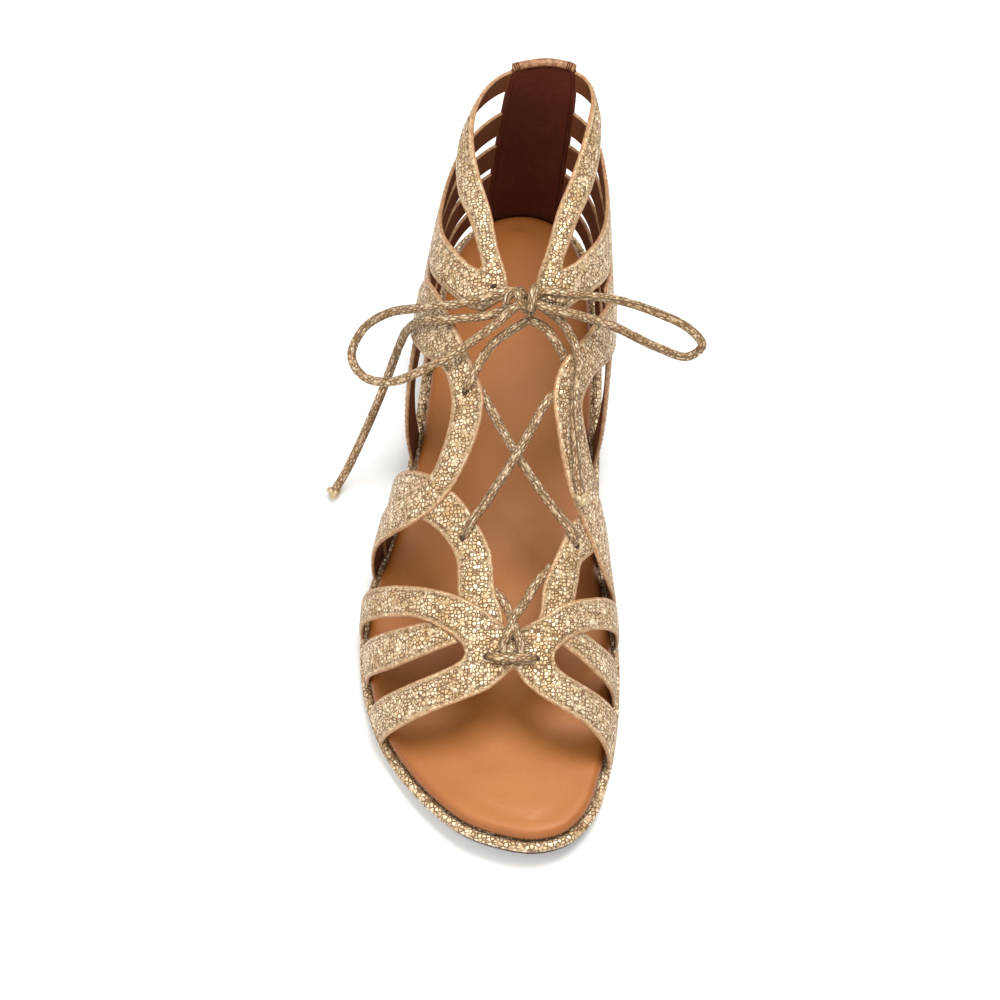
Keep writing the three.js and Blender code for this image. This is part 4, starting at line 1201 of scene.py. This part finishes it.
class SANDAL_OT_lacing(Operator):
    """The lace's bar and crossings up the throat, run into their punched holes"""

    bl_idname = "sandal.lacing"
    bl_label = "Lacing"

    def execute(self, context):
        radius = context.scene.sandal_lace.diameter / MM / 2
        routes = {
            "lace_bar": [[*BAR_ENDS[0], *BAR, *BAR_ENDS[1]]],
            "lace_cross_low": LOW_RUNS,
            "lace_cross_mid": [sum(parts, []) for parts in zip(MID_HEADS, MID_CROSS, MID_TAILS)],
            "lace_cross_top": [head + run for head, run in zip(TOP_HEADS, TOP_CROSS)],
        }
        for node, runs in routes.items():
            parts = [lace_part(route_points(run), radius) for run in runs]
            lace_piece(node + "_lace", node, *join_parts(parts))
        return {"FINISHED"}


# ---------- sole ----------
def sole_body(inset, reach, profile, front=None, stations=120, columns=24):
    """A layer of the sole as one closed body.

    Inside, an inner ring "reach" in from the edge is crossed by stations spaced by the cosine of a turn;
    round it the profile's rows (distance from the layer's edge, height) are carried along the outline on its
    normals. The first row is the underside and the last row the top. Heights stand on the sole's rise.
    Returns points, faces and each point's distance from the edge.
    """
    ring = edge_ring(inset + reach)
    split = [ring[:, 1].argmax(), ring[:, 1].argmin()]
    order = np.roll(np.arange(RING), -split[0])
    turn = (split[1] - split[0]) % RING
    inner, outer = ring[order[:turn + 1]], ring[np.append(order[turn:], order[0])]
    heel, toe = ring[split[0], 1], (ring[split[1], 1] if front is None else front)
    part = np.linspace(0, 1, stations + 1)
    y = heel + (toe - heel) * ((1 - np.cos(pi * part)) / 2 if front is None else 1 - np.cos(pi * part / 2))
    right = np.interp(-y, -inner[:, 1], inner[:, 0])
    left = np.interp(y, outer[:, 1], outer[:, 0])
    share = np.linspace(1, -1, columns + 1)
    x = (left + right)[:, None] / 2 + (right - left)[:, None] / 2 * share
    grid = np.stack([x, np.repeat(y[:, None], columns + 1, 1)], axis=-1)
    loop = np.vstack([grid[:, 0], grid[-1, 1:-1] if front is not None else np.zeros((0, 2)), grid[::-1, -1]])
    loop = loop[np.linalg.norm(loop - np.roll(loop, 1, 0), axis=1) > 1e-6]
    along = unit(np.roll(loop, -1, 0) - np.roll(loop, 1, 0))
    out = np.stack([-along[:, 1], along[:, 0]], axis=1)
    rows = np.asarray(profile, float)
    rim = loop[None] + out[None] * (reach - rows[:, 0])[:, None, None]
    rim_z = sole_rise(np.clip(rim[..., 1], *SOLE_SPAN)) + rows[:, 1][:, None]
    rim = np.concatenate([rim, rim_z[..., None]], axis=-1)
    dome = (1 - share**2)[None, :] * np.clip((right - left) / 40, 0, 1)[:, None]
    rise = sole_rise(y)[:, None]
    top = np.dstack([grid, rise + rows[-1, 1] + dome * rows[-1, 2]])
    low = np.dstack([grid, np.broadcast_to(rise + rows[0, 1], x.shape)])
    size = (stations + 1) * (columns + 1)
    faces = grid_quads(stations + 1, columns + 1)
    rim_faces = grid_quads(len(rows), len(loop), closed_columns=True)
    points = np.vstack([top.reshape(-1, 3), low.reshape(-1, 3), rim.reshape(-1, 3)])
    faces = np.vstack([faces[:, ::-1], faces + size, rim_faces + 2 * size])
    distance = np.concatenate([np.full(2 * size, reach), np.repeat(rows[:, 0], len(loop))])
    return points, faces, distance


def welded_piece(name, points, faces, finish_name, smooth=True):
    """A sole piece with its rim welded to its top and underside, and the numbers of the points kept."""
    first, where = weld(points)
    faces = [face for face in distinct(where[faces]) if len(face) > 2]
    return new_piece(name, points[first], faces, [finish(finish_name)], smooth=smooth), first


def sole_piece(name, finish_name, slot, node, inset, reach, profile):
    points, faces, distance = sole_body(inset, reach, profile)
    piece, kept = welded_piece(name, points, faces, finish_name)
    point_attribute(piece, "edge", distance[kept])
    return dress(piece, slot, node)


CORNER_STEPS = 5


def round_profile(thickness, low_corner, high_corner, low):
    """Rows (distance from the edge, height, dome) of a rim with quarter circles at its two corners."""
    turns = [pi / 2 * i / CORNER_STEPS for i in range(CORNER_STEPS + 1)]
    high = low + thickness
    under = [(low_corner * (1 - np.sin(a)), low + low_corner * (1 - np.cos(a)), 0) for a in turns]
    over = [(high_corner * (1 - np.cos(a)), high - high_corner * (1 - np.sin(a)), 0) for a in turns]
    return under + over


RIM_REACH = 6.0                # how far in from its edge a layer's rim begins
INSOLE_REACH = 8.0
OUTSOLE_CORNERS = (0.7, 0.35)  # radius of the lower and of the upper corner
MIDSOLE_CORNERS = (2.1, 2.0)
TUCK = 0.9                     # how far the outsole's soft edge draws in under the rim
VALLEY = [
    # distance from the edge, depth of the groove between the rim and the insole
    (2.5, 0.2), (3.0, 0.6), (3.6, 0.8), (RIM_REACH, 0.8),
]
INSOLE_SIDE = [
    # distance from the edge, height above the midsole, rise in the middle
    (INSOLE_REACH, -0.6, 0), (1.1, -0.6, 0), (0.4, 0.15, 0), (0.05, 0.9, 0), (0, 1.7, 0), (0.1, 2.5, 0),
    (0.4, 3.2, 0), (0.95, 3.85, 0), (1.8, 4.3, 0), (3.0, 4.5, 0), (4.8, 4.58, 0),
    (INSOLE_REACH, INSOLE, INSOLE_DOME),
]
HEEL_REACH = 1.2
HEEL_HIGH = 9                  # stands for the heel's top in its profile, which then follows the sole
HEEL_SIDE = [
    (HEEL_REACH, 0, 0), (0.5, 0, 0), (0.12, 0.12, 0), (0, 0.5, 0), (0, HEEL_HIGH, 0),
    (HEEL_REACH, HEEL_HIGH, 0),
]
HEEL_GRID = (60, 16)


class SANDAL_OT_sole(Operator):
    """Outsole, heel, leather-wrapped midsole and padded insole"""

    bl_idname = "sandal.sole"
    bl_label = "Sole"

    def execute(self, context):
        rounded = round_profile(OUTSOLE, *OUTSOLE_CORNERS, -OUTSOLE)
        outsole = [(RIM_REACH, -OUTSOLE, 0), *rounded, (RIM_REACH, 0, 0)]
        sole_piece("outsole_rubber", "rubber", "rubber", "outsole", OUTSOLE_INSET + TUCK, RIM_REACH, outsole)
        rounded = round_profile(MIDSOLE - GAP, *MIDSOLE_CORNERS, GAP)
        valley = [(distance, MIDSOLE - depth, 0) for distance, depth in VALLEY]
        midsole = [(RIM_REACH, GAP, 0), *rounded, *valley]
        sole_piece("midsole_wrap", "rim", "rim_leather", "midsole", 0.0, RIM_REACH, midsole)
        low = MIDSOLE + GAP
        side = [(distance, low + height, dome) for distance, height, dome in INSOLE_SIDE]
        start, end, widening = INSOLE_WIDENS
        ahead = np.clip((-EDGE_LINE[:, 1] - start) / (end - start), 0, 1)
        inset = INSOLE_INSET - widening * ahead * ahead * (3 - 2 * ahead)
        insole = sole_piece("insole_pad", "insole", "insole_leather", "insole", inset, INSOLE_REACH, side)
        self.heel()
        return {"FINISHED"}

    @staticmethod
    def heel():
        """The heel block: its underside lies on the floor and its top follows the sole's rise."""
        points, faces, _ = sole_body(HEEL_INSET, HEEL_REACH, HEEL_SIDE, HEEL_FRONT, *HEEL_GRID)
        rise = sole_rise(np.clip(points[:, 1], *SOLE_SPAN))
        above = points[:, 2] - rise
        points[:, 2] = np.where(above < HEEL_HIGH / 2, above, rise - OUTSOLE - GAP)
        piece, _ = welded_piece("heel_block", points, faces, "rubber", smooth=False)
        dress(piece, "rubber", "heel")


# ---------- upper ----------
def stitch_rows(side, rows, inset, pitch, lift, edges="AB"):
    """Places, directions and normals of stitches along a band's edges, inset from each edge."""
    table = np.column_stack([np.arange(len(rows)), np.asarray(rows, float)])
    edge = hermite(table, np.linspace(0, len(rows) - 1, 40 * (len(rows) - 1) + 1))
    a = on_last(edge[:, 0], edge[:, 1], side)
    b = on_last(edge[:, 2], edge[:, 3], side)
    width = np.maximum(np.linalg.norm(b - a, axis=1), 2 * inset)
    found = []
    for letter in edges:
        share = inset / width if letter == "A" else 1 - inset / width
        arc = edge[:, 0] + (edge[:, 2] - edge[:, 0]) * share
        height = edge[:, 1] + (edge[:, 3] - edge[:, 1]) * share
        normal = last_normal(arc, height, side)
        line = on_last(arc, height, side) + normal * lift
        run = np.concatenate([[0], np.cumsum(np.linalg.norm(np.diff(line, axis=0), axis=1))])
        count = int((run[-1] - pitch) / pitch)
        if count < 2:
            continue
        at = pitch * 0.7 + np.arange(count) * (run[-1] - 1.4 * pitch) / (count - 1)
        place = np.stack([np.interp(at, run, column) for column in line.T], axis=1)
        steps = [np.interp(at + 0.3, run, c) - np.interp(at - 0.3, run, c) for c in line.T]
        ahead = unit(np.stack(steps, axis=1))
        up = unit(np.stack([np.interp(at, run, c) for c in normal.T], axis=1))
        found.append((place, ahead, up))
    return found


BINDING = 1.45                 # half the thickness of the heel panel's rolled binding
SLIT = (1.15, 0.75)            # a punched hole's half length and half width, as shares of its radius
SLIT_ROWS = [(0.9, -0.3), (1.0, 0.05), (0.85, 0.1)]
STITCH_SIDES = 6
STITCH_SHARE = 0.62            # a stitch's length, as a share of the distance from one to the next
STITCH_SUNK = 0.16             # how far a stitch's middle line lies in the leather
HEAD_ROWS = 14                 # cells along the vamp's head
PANEL_GRID = (90, 37)
BINDING_WRAPS = (1, 3, 5)      # places of the thread wound round the binding, from each end
WRAP_RADIUS = 0.22
HOLE_SIDES = 20
HOLE_SUNK = 0.02
STITCH_RINGS = [
    # place along the stitch, share of its radius, rise in radii
    (-0.5, 0.25, -0.9), (-0.38, 0.85, 0.0), (0, 1.0, 0.2), (0.38, 0.85, 0.0), (0.5, 0.25, -0.9),
]


def stitches_mesh(found, length, radius):
    """Short arched threads: six-sided rings at shares of the stitch's length, raised in the middle."""
    place, ahead, up = (np.vstack([f[i] for f in found]) for i in range(3))
    across = np.cross(ahead, up)
    rings = np.array(STITCH_RINGS)
    angle = np.arange(STITCH_SIDES) / STITCH_SIDES * 2 * pi
    along = rings[:, 0] * length
    wide = rings[:, 1, None] * np.cos(angle) * radius
    high = (rings[:, 1, None] * np.sin(angle) + rings[:, 2, None]) * radius
    points = (place[:, None, None] + ahead[:, None, None] * along[None, :, None, None]
              + across[:, None, None] * wide[None, :, :, None] + up[:, None, None] * high[None, :, :, None])
    per = len(rings) * STITCH_SIDES
    starts = (np.arange(len(place)) * per)[:, None, None]
    body = grid_quads(len(rings), STITCH_SIDES, closed_columns=True)
    quads = (body[None] + starts).reshape(-1, 4)
    ring = np.arange(STITCH_SIDES)
    ends = np.stack([ring, per - 1 - ring])
    caps = (ends[None] + starts).reshape(-1, STITCH_SIDES)
    return points.reshape(-1, 3), quads.tolist() + caps.tolist()


class SANDAL_OT_upper(Operator):
    """The leather straps, lacing tabs and heel panel, with their stitches and punched holes"""

    bl_idname = "sandal.upper"
    bl_label = "Upper"

    def execute(self, context):
        leather = context.scene.sandal_leather
        self.cell = leather.cell / MM
        self.thick = leather.thickness / MM
        self.lap = leather.lap / MM
        self.inset = leather.stitch_inset / MM
        self.pitch = leather.stitch_pitch / MM
        self.found = []
        self.vamp()
        for side in (OUTER, INNER):
            word = SIDE_NAMES[side]
            self.strap(f"middle_strap_{word}", side, MIDDLE[side], 0)
            self.strap(f"ghillie_strap_{word}", side, GHILLIE[side], 0)
            self.strap(f"curved_strap_{word}", side, CURVED[side], 1)
            self.collar(side)
            for name, rows in HEEL_STRAPS.items():
                self.strap(f"{name}_strap_{word}", side, rows, 0)
        self.panel()
        self.stitching(leather)
        self.holes(context.scene.sandal_lace.eyelet / MM)
        return {"FINISHED"}

    def layer(self, number):
        low = self.lap if number else 0.0
        return low, low + self.thick

    def body(self, name, sheet, number):
        piece = strap_piece(name, sheet, *self.layer(number), strap_finishes())
        return dress(piece, "strap_leather", "upper")

    def stitch(self, side, rows, number, edges="AB"):
        rows = np.asarray(rows, float)
        lift = self.layer(number)[1] - STITCH_SUNK
        self.found += stitch_rows(side, rows, self.inset, self.pitch, lift, edges)

    def strap(self, name, side, rows, number):
        sheet = Sheet(self.cell)
        sheet.band(side, rows)
        self.body(name, sheet, number)
        self.stitch(side, rows, number)

    def fork(self, sheet, side, arms, head, number):
        """Two arms and the head that they run into, with matching cells where they meet."""
        halves = [[row[:4] for row in head], [row[2:] for row in head]]
        ahead = steps_along(side, halves[0], self.cell)
        bands = []
        for arm, half in zip(arms, halves):
            across = steps_across(side, arm, self.cell)
            bands.append(sheet.band(side, arm, across=across))
            sheet.band(side, half, along=ahead, across=across)
        sheet.slot_end(*bands)
        self.stitch(side, arms[0], number)
        self.stitch(side, arms[1], number)
        self.stitch(side, halves[0], number, "A")
        self.stitch(side, halves[1], number, "B")

    def vamp(self):
        sheet = Sheet(self.cell)
        across = {}
        for side in (OUTER, INNER):
            arms = [VAMP[side]["back"], VAMP[side]["front"]]
            head = VAMP[side]["head"]
            halves = [[row[:4] for row in head], [row[2:] for row in head]]
            bands = []
            for i, (arm, half) in enumerate(zip(arms, halves)):
                across.setdefault(i, steps_across(side, arm, self.cell))
                bands.append(sheet.band(side, arm, across=across[i]))
                sheet.band(side, half, along=HEAD_ROWS, across=across[i])
                self.stitch(side, arm, 1)
                self.stitch(side, half, 1, "AB"[i])
            sheet.slot_end(*bands)
        self.body("vamp", sheet, 1)

    def collar(self, side):
        sheet = Sheet(self.cell)
        self.fork(sheet, side, [COLLAR[side], SECOND[side]], TAB[side], 0)
        self.body(f"collar_{SIDE_NAMES[side]}", sheet, 0)

    def panel(self):
        """The heel panel: rows of the table as a grid that crosses the heel's centre line."""
        table = np.column_stack([np.arange(len(PANEL)), PANEL])
        rows = hermite(table, np.linspace(0, len(PANEL) - 1, PANEL_GRID[0]))
        arc = rows[:, 0, None] * np.linspace(-1, 1, PANEL_GRID[1])
        height = np.broadcast_to(rows[:, 1, None], arc.shape)
        outer, away = arc[..., None] < 0, np.abs(arc)
        points, normals = (
            np.where(outer, shape(away, height, OUTER), shape(away, height, INNER))
            for shape in (on_last, last_normal)
        )
        sheet = Sheet(self.cell)
        sheet.add(points, normals)
        finishes = [finish("strap"), finish("lining"), finish("lining")]
        piece = strap_piece("heel_panel", sheet, PANEL_INNER, PANEL_OUTER, finishes)
        dress(piece, "strap_leather", "upper")
        self.binding(points[-1] + normals[-1] * (PANEL_INNER + PANEL_OUTER) / 2)

    def binding(self, line):
        """A rolled binding along the panel's top, with thread wound round its two ends."""
        ahead = unit(line[-1] - line[-2])
        back = unit(line[0] - line[1])
        run = np.vstack([line[0] + back * 1.2, line[::4], line[-1] + ahead * 1.2])
        path = evenly(centripetal(run, False), 60)[0] + np.array([0, 0, 0.2])
        points, faces, uv = tube(path, BINDING, 18)
        piece = new_piece("panel_binding", points, faces, [finish("binding")])
        point_uv(piece, uv)
        dress(piece, "strap_leather", "upper")
        wraps = []
        a = np.linspace(0, 2 * pi, 25)[:, None]
        for end in (path[:9], path[-9:]):
            for i in BINDING_WRAPS:
                across = unit(end[i + 1] - end[i - 1])
                side = unit(np.cross(across, [0, 0, 1.0]))
                up = np.cross(side, across)
                circle = (BINDING + 0.05) * (np.cos(a) * side + np.sin(a) * up)
                wraps.append(tube(end[i] + circle, WRAP_RADIUS, 8))
        points, faces, _ = join_parts(wraps)
        dress(new_piece("binding_thread", points, faces, [finish("lining")]), "strap_leather")

    def stitching(self, leather):
        points, faces = stitches_mesh(self.found, self.pitch * STITCH_SHARE, leather.stitch_radius / MM)
        dress(new_piece("strap_stitches", points, faces, [finish("thread")]), "strap_leather")

    def holes(self, radius):
        """Slit-like punched holes: a thin closed disc, longer than wide, sunk level with the leather,
        coloured near black as painted shade inside the hole.
        """
        discs = []
        for arc, height, side, number, turn, size in HOLES:
            normal = last_normal(arc, height, side)
            centre = on_last(arc, height, side) + normal * (self.layer(number)[1] - HOLE_SUNK)
            across = unit(np.cross(normal, [0, 1.0, 0.2]))
            other = np.cross(normal, across)
            long = across * np.cos(turn) + other * np.sin(turn)
            short = np.cross(normal, long)
            angle = (np.arange(HOLE_SIDES) / HOLE_SIDES * 2 * pi)[:, None]
            rim = (np.cos(angle) * long * SLIT[0] + np.sin(angle) * short * SLIT[1]) * radius * size
            rows = [centre + rim * share + normal * lift for share, lift in SLIT_ROWS]
            faces = grid_quads(len(rows), HOLE_SIDES, closed_columns=True)[:, ::-1].tolist()
            ring = list(range(HOLE_SIDES))
            faces += [ring[::-1], [i + HOLE_SIDES * (len(rows) - 1) for i in ring]]
            discs.append((np.vstack(rows), faces, np.zeros((HOLE_SIDES * len(rows), 2))))
        points, faces, _ = join_parts(discs)
        dress(new_piece("lace_hole_shades", points, faces, [finish("hole")]), "strap_leather")


class SANDAL_PT_panel(Panel):
    """Lists the sandal's sizes, colours and pieces."""

    bl_label = "Sandal"
    bl_idname = "SANDAL_PT_panel"
    bl_space_type = "VIEW_3D"
    bl_region_type = "UI"
    bl_category = "Sandal"

    def draw(self, context):
        for group in (context.scene.sandal_leather, context.scene.sandal_lace, context.scene.sandal_colours):
            box = self.layout.box()
            for name in group.__annotations__:
                box.prop(group, name)
        for operator in OPERATORS:
            self.layout.operator(operator.bl_idname)


OPERATORS = (SANDAL_OT_stage, SANDAL_OT_bow, SANDAL_OT_lacing, SANDAL_OT_sole, SANDAL_OT_upper)
CLASSES = (SandalLeather, SandalLace, SandalColours, *OPERATORS, SANDAL_PT_panel)


def register():
    for cls in CLASSES:
        bpy.utils.register_class(cls)
    bpy.types.Scene.sandal_leather = PointerProperty(type=SandalLeather)
    bpy.types.Scene.sandal_lace = PointerProperty(type=SandalLace)
    bpy.types.Scene.sandal_colours = PointerProperty(type=SandalColours)


def unregister():
    del bpy.types.Scene.sandal_leather
    del bpy.types.Scene.sandal_lace
    del bpy.types.Scene.sandal_colours
    for cls in reversed(CLASSES):
        bpy.utils.unregister_class(cls)


def main():
    register()
    bpy.ops.sandal.stage()
    bpy.ops.sandal.bow()
    bpy.ops.sandal.lacing()
    bpy.ops.sandal.sole()
    bpy.ops.sandal.upper()


if __name__ == "__main__":
    main()
